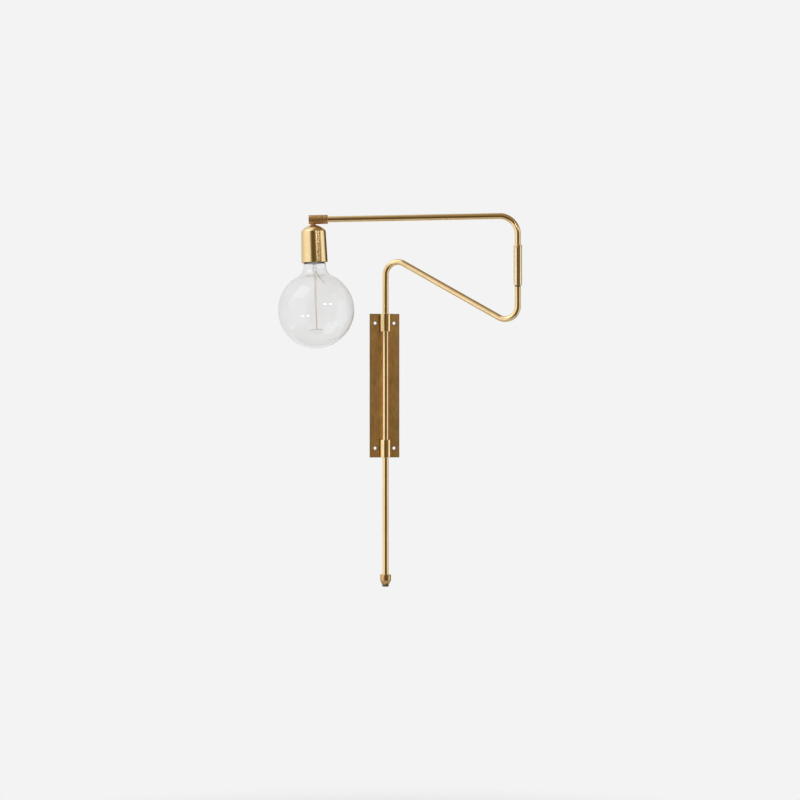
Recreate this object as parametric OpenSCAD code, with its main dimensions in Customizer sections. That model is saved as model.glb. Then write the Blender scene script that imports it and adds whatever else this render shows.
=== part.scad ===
// Swing arm wall lamp with a sliding stem, a folding elbow and a tilting globe head.
// Origin: centre of the wall plate's back face. +Z is up, the wall lies towards +Y, the room towards -Y.

/* [Wall plate] */
// Width of the plate
plate_w = 50; // [40:1:80]
// Height of the plate
plate_h = 240; // [180:1:320]
// Thickness of the plate
plate_t = 3; // [2.6:0.1:5]
// Bevel round the plate's front edges
plate_bevel = 0.4; // [0.1:0.1:0.8]
// Diameter of the four wall screw holes
wall_hole_d = 5.5; // [3.5:0.1:6.5]
// Distance from a wall screw hole to the plate's side
wall_hole_side = 9; // [6:0.5:10]
// Distance from a wall screw hole to the plate's end
wall_hole_end = 15.5; // [8:0.5:30]

/* [Collars] */
// Outer diameter of the collars
collar_d = 18; // [17:0.1:24]
// Length of each collar
collar_l = 30; // [20:1:45]
// Depth of the flat that seats each collar on the plate
collar_flat = 0.4; // [0.2:0.1:0.8]
// Bevel on the collars' end edges
collar_bevel = 0.6; // [0.2:0.1:1]
// Length of the lip that hides each bush at the inner end of its collar
collar_lip = 3; // [2:0.5:6]
// Wall thickness of the nylon bushes
bush_wall = 1.4; // [1:0.1:1.8]
// Thread diameter of the screws that hold the collars
collar_screw_d = 3; // [2.5:0.5:4]
// Distance between the two screws of one collar
collar_screw_gap = 14; // [10:1:18]
// Thread diameter of the drag screws
drag_screw_d = 4; // [3:0.5:5]

/* [Tubes] */
// Outer diameter of the arm tubes
tube_d = 10; // [9:0.1:12]
// Wall thickness of the arm tubes
tube_wall = 1; // [0.8:0.1:1.5]

/* [Lower arm] */
// Swing of the lower arm out from the wall at rest, in degrees
swing_angle = 29.5; // [0:0.5:90]
// Distance between the stem's axis and the elbow's axis
lower_reach = 230; // [160:1:320]
// Height at which the stem's axis would meet the diagonal's
top_corner_z = 220.6; // [190:0.1:260]
// Height at which the diagonal's axis would meet the riser's
low_corner_z = 93.7; // [60:0.1:110]
// Bend radius of the lower arm, to the tube's axis
lower_bend_r = 21.5; // [18:0.5:35]
// Height of the stem's bottom edge as seen above the gland
stem_bottom_z = -315; // [-420:1:-200]

/* [Cord gland] */
// Diameter of the gland body
gland_d = 18.3; // [16:0.1:22]
// Length of the gland's straight part
gland_straight = 10; // [8.5:0.1:14]
// Length of the gland's tapered jaws
gland_taper = 6.6; // [5:0.1:9]
// Diameter of the jaws' mouth
gland_mouth_d = 11.3; // [10.6:0.1:13]
// Length of the grip that stands out of the jaws
grip_stub = 3.5; // [2:0.1:6]
// Bore of the grip, for the cord
cord_bore = 6.2; // [5:0.1:6.8]

/* [Elbow] */
// Outer diameter of the hinge sleeve
sleeve_d = 14; // [13.6:0.1:18]
// Length of the hinge sleeve
sleeve_l = 66; // [50:1:90]
// Height of the hinge sleeve's lower end
sleeve_z = 163.7; // [155:0.1:175]
// Thickness of the dark washer under the sleeve
hinge_washer_t = 2; // [1:0.1:3]
// How far the elbow turns each way from straight, in degrees
elbow_reach = 162; // [120:1:162]
// Angle left between the folded arms at rest, in degrees
elbow_fold = 19.5; // [18:0.5:180]

/* [Upper arm] */
// Height at which the upper arm's axis meets the elbow's axis
upper_arm_z = 277.5; // [270:0.5:340]
// Distance from the elbow's axis to the lamp's hanging axis
upper_reach = 335; // [260:1:420]
// Bend radius of the upper arm, to the tube's axis
upper_bend_r = 30; // [20:1:36]
// How far the long arm leans below level, in degrees
arm_droop = 1.1; // [0:0.1:2]
// How far the head hangs off square to the long arm, in degrees
head_lean = 0.9; // [0:0.1:1.5]

/* [Swivel] */
// Diameter of the swivel barrel
barrel_d = 15; // [13.6:0.1:18]
// Length of the swivel barrel
barrel_l = 22.5; // [20:0.5:30]
// Distance from the lamp's axis to the barrel's closed end
barrel_nose = 7.1; // [6:0.1:10]
// Thickness of the barrel's closed end
barrel_end_wall = 2.4; // [1.5:0.1:3]
// Length of the swivel ring
ring_l = 7.5; // [5:0.1:10]
// Thickness of the swivel washer
swivel_washer_t = 0.8; // [0.5:0.1:1.2]
// How far the head tilts each way, in degrees
tilt_reach = 90; // [45:5:100]

/* [Cup] */
// Gap between the swivel barrel and the crown of the cup
crown_gap = 1.2; // [0.8:0.1:4]
// Radius of the cup's domed top
dome_r = 25.8; // [24:0.1:34]
// Cup radius at the shoulder
cup_shoulder_r = 20.4; // [20:0.1:22]
// Cup radius at the rim
cup_rim_r = 21.8; // [20.5:0.1:24]
// Rounding between the dome and the wall
cup_blend_r = 4.5; // [3:0.5:7]
// Height of the cup from crown to rim
cup_h = 61.5; // [58:0.1:66]
// Wall thickness of the cup
cup_wall = 1.1; // [0.8:0.1:1.4]
// Diameter of the thin neck between the barrel and the cup
neck_d = 6.7; // [6:0.1:8]
// Bore of the neck, for the wires
neck_bore = 4; // [3:0.1:4.5]
// Diameter of the small cap on the crown
neck_cap_d = 10.6; // [9:0.1:13]

/* [Lampholder] */
// Outer diameter of the lampholder shell
holder_d = 33; // [32.4:0.1:35]
// Wall thickness of the lampholder shell
holder_wall = 2.2; // [1.8:0.1:2.4]
// How far the shell stands out of the cup
holder_stub = 0.5; // [0.5:0.1:4]
// Height of the lampholder shell
holder_h = 47.5; // [45:0.5:49]
// Thickness of the ceramic terminal block
block_t = 7; // [5:0.5:8]

/* [Globe lamp] */
// Outer diameter of the globe
globe_d = 125; // [90:1:130]
// Drop from the arm's axis to the globe's centre
globe_drop = 148.2; // [147:0.1:170]
// Outer diameter of the glass neck
glass_neck_d = 37.4; // [34:0.1:38]
// Rounding where the neck opens into the globe
glass_flare_r = 17; // [12:1:20]
// Gap between the lampholder shell and the glass shoulder
glass_gap = 0.5; // [0.4:0.1:3]
// Thickness of the glass
glass_wall = 0.8; // [0.6:0.1:1.2]
// Diameter of the screw cap
cap_d = 26; // [25.6:0.1:26.2]
// Length of the screw cap's shell
cap_l = 21; // [19:0.5:22]
// Length of the filament
filament_l = 91; // [60:1:95]
// Diameter of one filament strand
filament_d = 0.9; // [0.6:0.1:2]

/* [Fits] */
// Radial clearance of a turning or sliding fit
running_gap = 0.04; // [0.02:0.01:0.08]
// Radial clearance of a joint that is pressed, screwed or soldered
seat_gap = 0.02; // [0.01:0.01:0.05]
// Space between pieces that move past each other without touching
free_gap = 0.3; // [0.2:0.05:0.5]

/* [Hidden] */

$fn = 96;
cut = 1;              // how far a cutting shape runs past the face that it opens
skin = 0.01;          // how far a cut starts outside a face that it meets at an edge
face_gap = 0.05;      // space between two flat faces that meet
small_fn = 32;        // roundness of wires and small screws
screw_sink = 0.3;     // how deep a grub screw's face lies below the surface
socket_ratio = 0.55;  // a screw's key socket, as a share of its diameter

// Colours, as the photograph shows them
aged_brass = [0.53, 0.41, 0.22];
brushed_brass = [0.80, 0.66, 0.40];
antique_brass = [0.55, 0.38, 0.20];
satin_brass = [0.86, 0.73, 0.48];
black_nylon = [0.10, 0.10, 0.10];
grey_rubber = [0.36, 0.35, 0.31];
white_nylon = [0.88, 0.87, 0.83];
steel = [0.62, 0.63, 0.65];
ceramic = [0.90, 0.89, 0.86];
clear_glass = [0.85, 0.88, 0.90, 0.35];
filament_cream = [0.96, 0.90, 0.70];

// Bracket and bushes
stem_y = -(plate_t + collar_d / 2 - collar_flat);
collar_z = plate_h / 2 - collar_l;
bush_d = tube_d + 2 * running_gap + 2 * bush_wall;
bush_l = collar_l - collar_lip - free_gap;
collar_bore = bush_d + 2 * running_gap;
wall_hole_x = plate_w / 2 - wall_hole_side;
wall_hole_z = plate_h / 2 - wall_hole_end;
collar_screw_head_d = 1.9 * collar_screw_d;
collar_screw_head_t = (collar_screw_head_d - collar_screw_d) / 2;
collar_screw_end = plate_t + collar_d / 2 - collar_flat - collar_bore / 2 - free_gap;

// Tubes
tube_bore = tube_d - 2 * tube_wall;
bead_height = 0.02;   // how far the bead at each end of a bend stands proud of the tube
join_gap = 0.1;       // how far each length stops short of the middle of its bead

// Lower arm: the diagonal's fall and the turn at each of its bends
diagonal_fall = top_corner_z - low_corner_z;
lower_turn = 90 + atan2(diagonal_fall, lower_reach);
lower_tangent = lower_bend_r * tan(lower_turn / 2);
diagonal_l = norm([lower_reach, diagonal_fall]) - 2 * lower_tangent;
stem_seat = 8;                                   // how deep the stem stands in the gland
stem_start_z = stem_bottom_z - stem_seat;
stem_l = top_corner_z - lower_tangent - stem_start_z;
riser_top_z = sleeve_z - free_gap - hinge_washer_t;
riser_l = riser_top_z - low_corner_z - lower_tangent;

// Cord gland
gland_bottom_z = stem_bottom_z - gland_straight - gland_taper;
gland_screw_z = stem_bottom_z - 4;
jaw_lip = 1.3;                                   // wall of the jaws at their mouth
jaw_notch_w = 2.6;
jaw_notch_h = 4.2;
grip_d = gland_mouth_d - 2 * jaw_lip;
grip_flange_d = gland_mouth_d - 0.4;
grip_top_z = stem_start_z - free_gap;
grip_bottom_z = gland_bottom_z - grip_stub;

// Elbow: the sleeve's bore takes the upper tube above and the spindle's journal below
sleeve_bore = tube_d + 2 * running_gap;
upper_tube_seat = 26;                            // how deep the upper tube stands in the sleeve
journal_end_gap = 2;                             // space between the journal and the upper tube
journal_l = sleeve_l - upper_tube_seat - journal_end_gap;
spindle_bore = 5;
spindle_plug_l = 20;
dog_screw_d = 3;
dog_d = 1.2;                                     // diameter of the screws' dog points
dog_tip_r = 3.8;                                 // radius that the dog points reach in to
dog_side_gap = 0.15;                             // space left between a dog point and its stop
groove_r = dog_tip_r - 0.35;                     // the groove's floor clears the dog point's tip
groove_w = dog_d + 0.9;
elbow_groove = elbow_reach + asin((dog_d / 2 + dog_side_gap) / dog_tip_r);
tilt_groove = tilt_reach + asin((dog_d / 2 + dog_side_gap) / dog_tip_r);
stop_screw_turn = -80;                           // direction of the stop screw, from the upper arm
stop_screw_z = sleeve_z + 16;
fixing_screw_turn = 70;                          // direction of the fixing screw, from the upper arm
fixing_screw_z = sleeve_z + sleeve_l - 4;

// Upper arm
upper_turn = 90 + arm_droop;
upper_tangent = upper_bend_r * tan(upper_turn / 2);
upper_tube_z = sleeve_z + sleeve_l - upper_tube_seat;
barrel_x = upper_reach + barrel_nose - barrel_l;              // barrel's open end, along the arm
ring_x = barrel_x - free_gap - swivel_washer_t - ring_l;      // ring's inner end, along the arm
upper_arm_l = ring_x + ring_l - upper_tangent;
swivel_washer_d = barrel_d - 0.6;
swivel_plug_l = 14;
tilt_screw_x = barrel_x + 5;
neck_side_gap = 1.15;                            // space between the swivel spindle and the neck
swivel_journal_l = barrel_l - barrel_nose - neck_d / 2 - neck_side_gap;
swivel_chamber_x = upper_reach + barrel_nose - barrel_end_wall;

// Cup: the dome's centre, and the nut that holds the cup up against the neck
crown_z = -barrel_d / 2 - crown_gap;
neck_cap_h = crown_gap - free_gap;
dome_z = crown_z - dome_r;
rim_z = crown_z - cup_h;
nipple_top_z = -tube_d / 2 + 0.6;
nipple_nut_d = 1.7 * neck_d;                     // across the nut's corners
nipple_nut_t = 3;
dome_inner_r = dome_r - cup_wall;
nut_seat_z = dome_z + sqrt(pow(dome_inner_r, 2) - pow(nipple_nut_d / 2, 2)) - face_gap;

// Lampholder, measured down from the arm's axis
holder_bottom_z = rim_z - holder_stub;
holder_top_z = holder_bottom_z + holder_h;
holder_lid = 3;
holder_bore = holder_d - 2 * holder_wall;
nipple_bottom_z = holder_top_z - holder_lid;
block_top_z = nipple_bottom_z - 2.5;             // leaves room for the wires over the block
block_bottom_z = block_top_z - block_t;
terminal_x = 8;
terminal_d = 3;
strip_t = 0.5;                                   // thickness of the contact strips

// Screw cap
glass_top_z = holder_bottom_z - glass_gap;
cap_bottom_z = glass_top_z + 1.5;
cap_top_z = cap_bottom_z + cap_l;
cap_shoulder_w = 3;
cap_shoulder_h = 2;
cap_insulator_h = 4;
cap_insulator_r = 5.5;
contact_r = 4.5;
contact_tip_r = 3;
contact_h = 1.6;
contact_top_z = cap_top_z + cap_insulator_h + contact_h;
shell_thickness = 0.4;
screw_shell_bore = cap_d + 2 * free_gap;
screw_shell_z = cap_bottom_z + 3;

// Globe and its inner glass
globe_r = globe_d / 2;
globe_z = -globe_drop;
glass_neck_r = glass_neck_d / 2;
glass_shoulder_r = 2.5;
glass_mouth_r = cap_d / 2 - shell_thickness - 0.6;
glass_mouth_z = cap_bottom_z + 6;
stem_foot_r = glass_mouth_r - glass_wall - 0.4;
stem_foot_z = cap_bottom_z + 4;
stem_foot_h = 6;
stem_r = 3;
pinch_w = 8;
pinch_t = 3;
pinch_h = 6;
pinch_z = glass_top_z - 13.6;

// Wires and filament
lead_d = 0.6;
lead_x = 2.6;
lead_top_z = pinch_z - lead_d / 2;
filament_top_z = pinch_z - 3;
filament_bottom_z = filament_top_z - filament_l;
strand_top_x = 1.7;
strand_bottom_x = 0.95;
getter_top = [-1, 0.8];
getter_foot = [-15.5, 2];
getter_drop = 20;
anchor_half = 12;                                // half width of the hook across the filament's foot
anchor_fall = 1.5;

// Frames: each places its children on one sub-assembly

module on_lower_arm() {
    translate([0, stem_y, 0])
        rotate([0, 0, -swing_angle])
            children();
}

module on_elbow() {
    on_lower_arm()
        translate([lower_reach, 0, 0])
            rotate([0, 0, 180 + elbow_fold])
                children();
}

module on_upper_arm() {
    on_elbow()
        translate([0, 0, upper_arm_z])
            rotate([0, arm_droop, 0])
                children();
}

module on_head() {
    on_upper_arm()
        at_neck()
            children();
}

// The head's place on the long arm, for pieces of the arm that it passes through
module at_neck() {
    translate([upper_reach, 0, 0])
        rotate([0, head_lean, 0])
            children();
}

// Turns a shape that lies along +Z so that it lies along +X
module along_x() {
    rotate([0, 90, 0])
        children();
}

// Shared shapes

// A straight length of round bar from start to its length less finish; its children carry on at the far end
module straight(length, diameter, start = join_gap, finish = join_gap) {
    translate([0, 0, start])
        cylinder(d = diameter, h = length - start - finish);
    translate([0, 0, length])
        children();
}

// A bend towards +X, or -X for a negative angle, with a bead at each end; its children carry on at its end
module bend(angle, radius, diameter) {
    side = sign(angle);
    turn = abs(angle);
    gap_turn = asin(join_gap / radius);
    bead(diameter);
    rotate([0, 0, side > 0 ? 0 : 180])
        translate([radius, 0, 0])
            rotate([90, 0, 180])
                rotate([0, 0, gap_turn])
                    rotate_extrude(angle = turn - 2 * gap_turn)
                        translate([radius, 0])
                            circle(d = diameter);
    translate([side * radius * (1 - cos(turn)), 0, radius * sin(turn)])
        rotate([0, angle, 0]) {
            bead(diameter);
            children();
        }
}

// The faint bead that joins a straight length to a bend
module bead(diameter) {
    sphere(d = diameter + 2 * bead_height);
}

// A plain ring standing on the XY plane
module ring(outer_d, inner_d, height) {
    difference() {
        cylinder(d = outer_d, h = height);
        translate([0, 0, -cut])
            cylinder(d = inner_d, h = height + 2 * cut);
    }
}

// A round bar with both end edges bevelled
module beveled_bar(diameter, length, bevel) {
    r = diameter / 2;
    rotate_extrude()
        polygon([
            [0, 0], [r - bevel, 0], [r, bevel],
            [r, length - bevel], [r - bevel, length], [0, length]
        ]);
}

// A straight round wire from one point to another
module wire(from, to, diameter) {
    run = to - from;
    length = norm(run);
    translate(from)
        rotate([0, acos(run.z / length), atan2(run.y, run.x)])
            cylinder(d = diameter, h = length, $fn = small_fn);
}

// A grub screw that points along -Z with its face at the origin, and an optional dog point
module grub_screw(diameter, length, dog_diameter = 0, dog_length = 0) {
    difference() {
        translate([0, 0, -length])
            cylinder(d = diameter, h = length, $fn = small_fn);
        translate([0, 0, -length * 0.5])
            cylinder(d = socket_ratio * diameter, h = length, $fn = 6);
    }
    if (dog_length > 0)
        translate([0, 0, -length - dog_length])
            cylinder(d = dog_diameter, h = dog_length, $fn = small_fn);
}

// Bracket

module wall_screw_holes() {
    for (x = [-wall_hole_x, wall_hole_x], z = [-wall_hole_z, wall_hole_z])
        translate([x, cut, z])
            rotate([90, 0, 0])
                cylinder(d = wall_hole_d, h = plate_t + 2 * cut);
}

// Places its children at the four collar screws, on the plate's back face and pointing to the front
module at_collar_screws() {
    for (side = [-1, 1], step = [-0.5, 0.5])
        translate([0, 0, side * (collar_z + collar_l / 2) + step * collar_screw_gap])
            rotate([90, 0, 0])
                children();
}

module collar_screw_shape(gap) {
    cylinder(d1 = collar_screw_head_d + 2 * gap, d2 = collar_screw_d + 2 * gap,
             h = collar_screw_head_t, $fn = small_fn);
    cylinder(d = collar_screw_d + 2 * gap, h = collar_screw_end, $fn = small_fn);
}

module wall_plate() {
    edge = plate_bevel * sqrt(2);
    color(aged_brass)
        difference() {
            translate([-plate_w / 2, -plate_t, -plate_h / 2])
                cube([plate_w, plate_t, plate_h]);
            for (side = [-1, 1]) {
                translate([side * plate_w / 2, -plate_t, 0])
                    rotate([0, 0, 45])
                        cube([edge, edge, plate_h + 2 * cut], center = true);
                translate([0, -plate_t, side * plate_h / 2])
                    rotate([45, 0, 0])
                        cube([plate_w + 2 * cut, edge, edge], center = true);
            }
            wall_screw_holes();
            at_collar_screws()
                translate([0, 0, -skin])
                    collar_screw_shape(seat_gap);
        }
}

// A collar with its bush pocket open at the top and its lip at the bottom
module collar_turned() {
    difference() {
        beveled_bar(collar_d, collar_l, collar_bevel);
        translate([0, 0, collar_lip])
            cylinder(d = collar_bore, h = collar_l);
        translate([0, 0, -cut])
            cylinder(d = tube_d + 2 * free_gap, h = collar_l);
    }
}

// The collars' flats and screw holes are cut in place, from the plate's own positions
module seated_collar(z, lip_up) {
    color(brushed_brass)
        difference() {
            translate([0, stem_y, z + (lip_up ? collar_l : 0)])
                rotate([lip_up ? 180 : 0, 0, 0])
                    collar_turned();
            translate([-plate_w / 2, -plate_t, z - cut])
                cube([plate_w, collar_d, collar_l + 2 * cut]);
            at_collar_screws()
                cylinder(d = collar_screw_d + 2 * seat_gap, h = plate_t + collar_d / 4, $fn = small_fn);
            at_drag_screws()
                translate([0, 0, -collar_d / 2])
                    cylinder(d = drag_screw_d + 2 * seat_gap, h = collar_d, $fn = small_fn);
        }
}

// Places its children on the right side of each collar, pointing outwards
module at_drag_screws() {
    for (side = [-1, 1])
        translate([collar_d / 2 - screw_sink, stem_y, side * (collar_z + collar_l / 2)])
            along_x()
                children();
}

module upper_collar() {
    seated_collar(collar_z, false);
}

module lower_collar() {
    seated_collar(-collar_z - collar_l, true);
}

module collar_screws() {
    color(steel)
        at_collar_screws()
            difference() {
                collar_screw_shape(0);
                translate([0, 0, -cut])
                    cylinder(d = socket_ratio * collar_screw_d, h = cut + collar_screw_head_t, $fn = 6);
            }
}

module drag_screws() {
    color(steel)
        at_drag_screws()
            grub_screw(drag_screw_d, (collar_d - collar_bore) / 2 - screw_sink - free_gap);
}

// Bushes

module bush() {
    ring(bush_d, tube_d + 2 * running_gap, bush_l);
}

module upper_bush() {
    color(white_nylon)
        translate([0, stem_y, collar_z + collar_lip + free_gap / 2])
            bush();
}

module lower_bush() {
    color(white_nylon)
        translate([0, stem_y, -collar_z - collar_lip - free_gap / 2 - bush_l])
            bush();
}

// Lower arm

// The lower arm's run as a round bar; run_on carries it past both ends
module lower_arm_bar(diameter, run_on) {
    translate([0, 0, stem_start_z])
        straight(stem_l, diameter, start = -run_on)
            bend(lower_turn, lower_bend_r, diameter)
                straight(diagonal_l, diameter)
                    bend(-lower_turn, lower_bend_r, diameter)
                        straight(riser_l, diameter, finish = -run_on);
}

module lower_arm_tube() {
    color(brushed_brass)
        on_lower_arm()
            difference() {
                lower_arm_bar(tube_d, 0);
                lower_arm_bar(tube_bore, cut);
            }
}

module gland_body() {
    r = gland_d / 2;
    mouth_r = gland_mouth_d / 2;
    top_bevel = 0.7;
    color(brushed_brass)
        on_lower_arm()
            difference() {
                translate([0, 0, gland_bottom_z])
                    rotate_extrude()
                        polygon([
                            [0, 0], [mouth_r, 0], [r, gland_taper],
                            [r, gland_taper + gland_straight - top_bevel],
                            [r - top_bevel, gland_taper + gland_straight],
                            [0, gland_taper + gland_straight]
                        ]);
                translate([0, 0, stem_start_z])
                    cylinder(d = tube_d + 2 * seat_gap, h = stem_seat + cut);
                translate([0, 0, gland_bottom_z - cut])
                    cylinder(d = grip_d + 2 * seat_gap, h = gland_taper + gland_straight);
                for (quarter = [0:3])
                    rotate([0, 0, 45 + 90 * quarter])
                        translate([0, 0, gland_bottom_z])
                            rotate([90, 0, 90])
                                linear_extrude(gland_d)
                                    polygon([
                                        [-jaw_notch_w / 2, -skin], [jaw_notch_w / 2, -skin], [0, jaw_notch_h]
                                    ]);
                at_gland_screw()
                    translate([0, 0, -gland_d / 2])
                        cylinder(d = dog_screw_d + 2 * seat_gap, h = gland_d, $fn = small_fn);
            }
}

// Places its children on the gland's back, pointing outwards
module at_gland_screw() {
    rotate([0, 0, 90 + swing_angle])
        translate([gland_d / 2 - screw_sink, 0, gland_screw_z])
            along_x()
                children();
}

module gland_grip() {
    grip_bevel = 0.5;
    color(grey_rubber)
        on_lower_arm()
            difference() {
                union() {
                    translate([0, 0, grip_bottom_z])
                        beveled_bar(grip_flange_d, grip_stub - face_gap, grip_bevel);
                    translate([0, 0, grip_bottom_z])
                        cylinder(d = grip_d, h = grip_top_z - grip_bottom_z);
                }
                translate([0, 0, grip_bottom_z - cut])
                    cylinder(d = cord_bore, h = grip_top_z - grip_bottom_z + 2 * cut);
            }
}

module gland_screw() {
    color(steel)
        on_lower_arm()
            at_gland_screw()
                grub_screw(dog_screw_d, (gland_d - tube_d) / 2 - screw_sink - seat_gap);
}

// A hollow spindle along +Z: a plug in the tube's end and, from the origin up, a journal with a stop groove
module spindle(plug_length, collar_length, journal_length, groove_z, groove_half, groove_turn) {
    total = plug_length + collar_length + journal_length;
    difference() {
        union() {
            translate([0, 0, -plug_length])
                cylinder(d = tube_bore - 2 * seat_gap, h = plug_length + collar_length);
            translate([0, 0, collar_length])
                cylinder(d = tube_d, h = journal_length);
        }
        translate([0, 0, -plug_length - cut])
            cylinder(d = spindle_bore, h = total + 2 * cut);
        translate([0, 0, groove_z - groove_w / 2])
            rotate([0, 0, groove_turn - groove_half])
                rotate_extrude(angle = 2 * groove_half)
                    translate([groove_r, 0])
                        square([tube_d, groove_w]);
    }
}

// The elbow's groove is centred opposite its stop, where the dog point lies when the arms are in line
module hinge_spindle() {
    color(brushed_brass)
        on_lower_arm()
            translate([lower_reach, 0, riser_top_z])
                spindle(spindle_plug_l, hinge_washer_t, journal_l,
                        stop_screw_z - riser_top_z, elbow_groove, stop_screw_turn);
}

module hinge_washer() {
    color(black_nylon)
        on_lower_arm()
            translate([lower_reach, 0, riser_top_z])
                ring(tube_d - free_gap, tube_bore, hinge_washer_t);
}

// Upper arm

module hinge_sleeve() {
    sleeve_bevel = 0.8;
    color(brushed_brass)
        on_elbow()
            difference() {
                translate([0, 0, sleeve_z])
                    beveled_bar(sleeve_d, sleeve_l, sleeve_bevel);
                translate([0, 0, sleeve_z - cut])
                    cylinder(d = sleeve_bore, h = sleeve_l + 2 * cut);
                at_stop_screw()
                    translate([0, 0, -sleeve_d / 4])
                        cylinder(d = dog_screw_d + 2 * seat_gap, h = sleeve_d / 2, $fn = small_fn);
                at_fixing_screw()
                    translate([0, 0, -sleeve_d / 4])
                        cylinder(d = dog_screw_d + 2 * seat_gap, h = sleeve_d / 2, $fn = small_fn);
            }
}

// Places its children on the sleeve, pointing outwards
module on_sleeve(turn, z) {
    rotate([0, 0, turn])
        translate([sleeve_d / 2 - screw_sink, 0, z])
            along_x()
                children();
}

module at_stop_screw() {
    on_sleeve(stop_screw_turn, stop_screw_z)
        children();
}

module at_fixing_screw() {
    on_sleeve(fixing_screw_turn, fixing_screw_z)
        children();
}

// The upper arm's run as a round bar; run_on carries it past both ends
module upper_arm_bar(diameter, run_on) {
    translate([0, 0, upper_tube_z])
        straight(upper_arm_z - upper_tangent - upper_tube_z, diameter, start = -run_on)
            bend(upper_turn, upper_bend_r, diameter)
                straight(upper_arm_l, diameter, finish = -run_on);
}

module upper_arm_tube() {
    color(brushed_brass)
        on_elbow()
            difference() {
                upper_arm_bar(tube_d, 0);
                upper_arm_bar(tube_bore, cut);
            }
}

module arm_fixing_screw() {
    color(antique_brass)
        on_elbow()
            at_fixing_screw()
                grub_screw(dog_screw_d, (sleeve_d - tube_d) / 2 - screw_sink - seat_gap);
}

module elbow_stop_screw() {
    body_l = (sleeve_d - sleeve_bore) / 2 - screw_sink;
    color(steel)
        on_elbow()
            at_stop_screw()
                grub_screw(dog_screw_d, body_l, dog_d, sleeve_bore / 2 - dog_tip_r);
}

module swivel_ring() {
    ring_bevel = 0.5;
    color(antique_brass)
        on_upper_arm()
            translate([ring_x, 0, 0])
                along_x()
                    difference() {
                        beveled_bar(barrel_d, ring_l, ring_bevel);
                        translate([0, 0, -cut])
                            cylinder(d = tube_d + 2 * seat_gap, h = ring_l + 2 * cut);
                    }
}

module swivel_washer() {
    color(black_nylon)
        on_upper_arm()
            translate([ring_x + ring_l, 0, 0])
                along_x()
                    ring(swivel_washer_d, tube_bore, swivel_washer_t);
}

module swivel_spindle() {
    color(brushed_brass)
        on_upper_arm()
            translate([ring_x + ring_l, 0, 0])
                along_x()
                    spindle(swivel_plug_l, swivel_washer_t, free_gap + swivel_journal_l,
                            tilt_screw_x - ring_x - ring_l, tilt_groove, -90);
}

// Head

module swivel_barrel() {
    barrel_bevel = 0.6;
    color(antique_brass)
        on_upper_arm()
            difference() {
                translate([barrel_x, 0, 0])
                    along_x()
                        beveled_bar(barrel_d, barrel_l, barrel_bevel);
                translate([barrel_x - cut, 0, 0])
                    along_x()
                        cylinder(d = tube_d + 2 * running_gap, h = swivel_chamber_x - barrel_x + cut);
                at_neck()
                    translate([0, 0, -barrel_d])
                        cylinder(d = neck_d + 2 * seat_gap, h = barrel_d);
                at_tilt_screw()
                    translate([0, 0, -barrel_d / 4])
                        cylinder(d = dog_screw_d + 2 * seat_gap, h = barrel_d / 2, $fn = small_fn);
            }
}

// Places its children on the barrel's wall side, pointing outwards
module at_tilt_screw() {
    translate([tilt_screw_x, screw_sink - barrel_d / 2, 0])
        rotate([90, 0, 0])
            children();
}

module tilt_stop_screw() {
    body_l = (barrel_d - tube_d) / 2 - running_gap - screw_sink;
    color(steel)
        on_upper_arm()
            at_tilt_screw()
                grub_screw(dog_screw_d, body_l, dog_d, tube_d / 2 + running_gap - dog_tip_r);
}

module head_nipple() {
    color(brushed_brass)
        on_head()
            translate([0, 0, nipple_bottom_z])
                ring(neck_d, neck_bore, nipple_top_z - nipple_bottom_z);
}

module neck_cap() {
    taper = 1.5;
    color(antique_brass)
        on_head()
            difference() {
                translate([0, 0, crown_z])
                    cylinder(d1 = neck_cap_d, d2 = neck_cap_d - 2 * taper, h = neck_cap_h);
                translate([0, 0, crown_z - cut])
                    cylinder(d = neck_d + 2 * seat_gap, h = neck_cap_h + 2 * cut);
                translate([0, 0, dome_z])
                    sphere(r = dome_r);
            }
}

module nipple_nut() {
    color(steel)
        on_head()
            translate([0, 0, nut_seat_z - nipple_nut_t])
                difference() {
                    cylinder(d = nipple_nut_d, h = nipple_nut_t, $fn = 6);
                    translate([0, 0, -cut])
                        cylinder(d = neck_d + 2 * seat_gap, h = nipple_nut_t + 2 * cut);
                }
}

// Half outline of the cup's outside, or of its inside when inset is the wall
module cup_outline(inset) {
    sphere_r = dome_r - inset;
    blend_r = cup_blend_r - inset;
    shoulder_r = cup_shoulder_r - inset;
    blend_x = shoulder_r - blend_r;
    blend_z = dome_z + sqrt(pow(sphere_r - blend_r, 2) - pow(blend_x, 2));
    meet = sphere_r / (sphere_r - blend_r);
    meet_x = blend_x * meet;
    meet_z = dome_z + (blend_z - dome_z) * meet;
    floor_z = inset > 0 ? rim_z - cut : rim_z;
    flare = (cup_rim_r - cup_shoulder_r) / (blend_z - rim_z);
    union() {
        intersection() {
            translate([0, dome_z])
                circle(r = sphere_r);
            translate([0, meet_z])
                square([meet_x, sphere_r]);
        }
        intersection() {
            translate([blend_x, blend_z])
                circle(r = blend_r);
            translate([blend_x, blend_z])
                square([blend_r + cut, blend_r + cut]);
        }
        polygon([
            [0, floor_z], [shoulder_r + flare * (blend_z - floor_z), floor_z],
            [shoulder_r, blend_z], [blend_x, blend_z], [meet_x, meet_z], [0, meet_z]
        ]);
    }
}

module holder_cup() {
    color(satin_brass)
        on_head()
            rotate_extrude()
                difference() {
                    cup_outline(0);
                    cup_outline(cup_wall);
                    translate([0, crown_z - cup_h / 2])
                        square([neck_d / 2 + seat_gap, cup_h]);
                }
}

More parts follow.
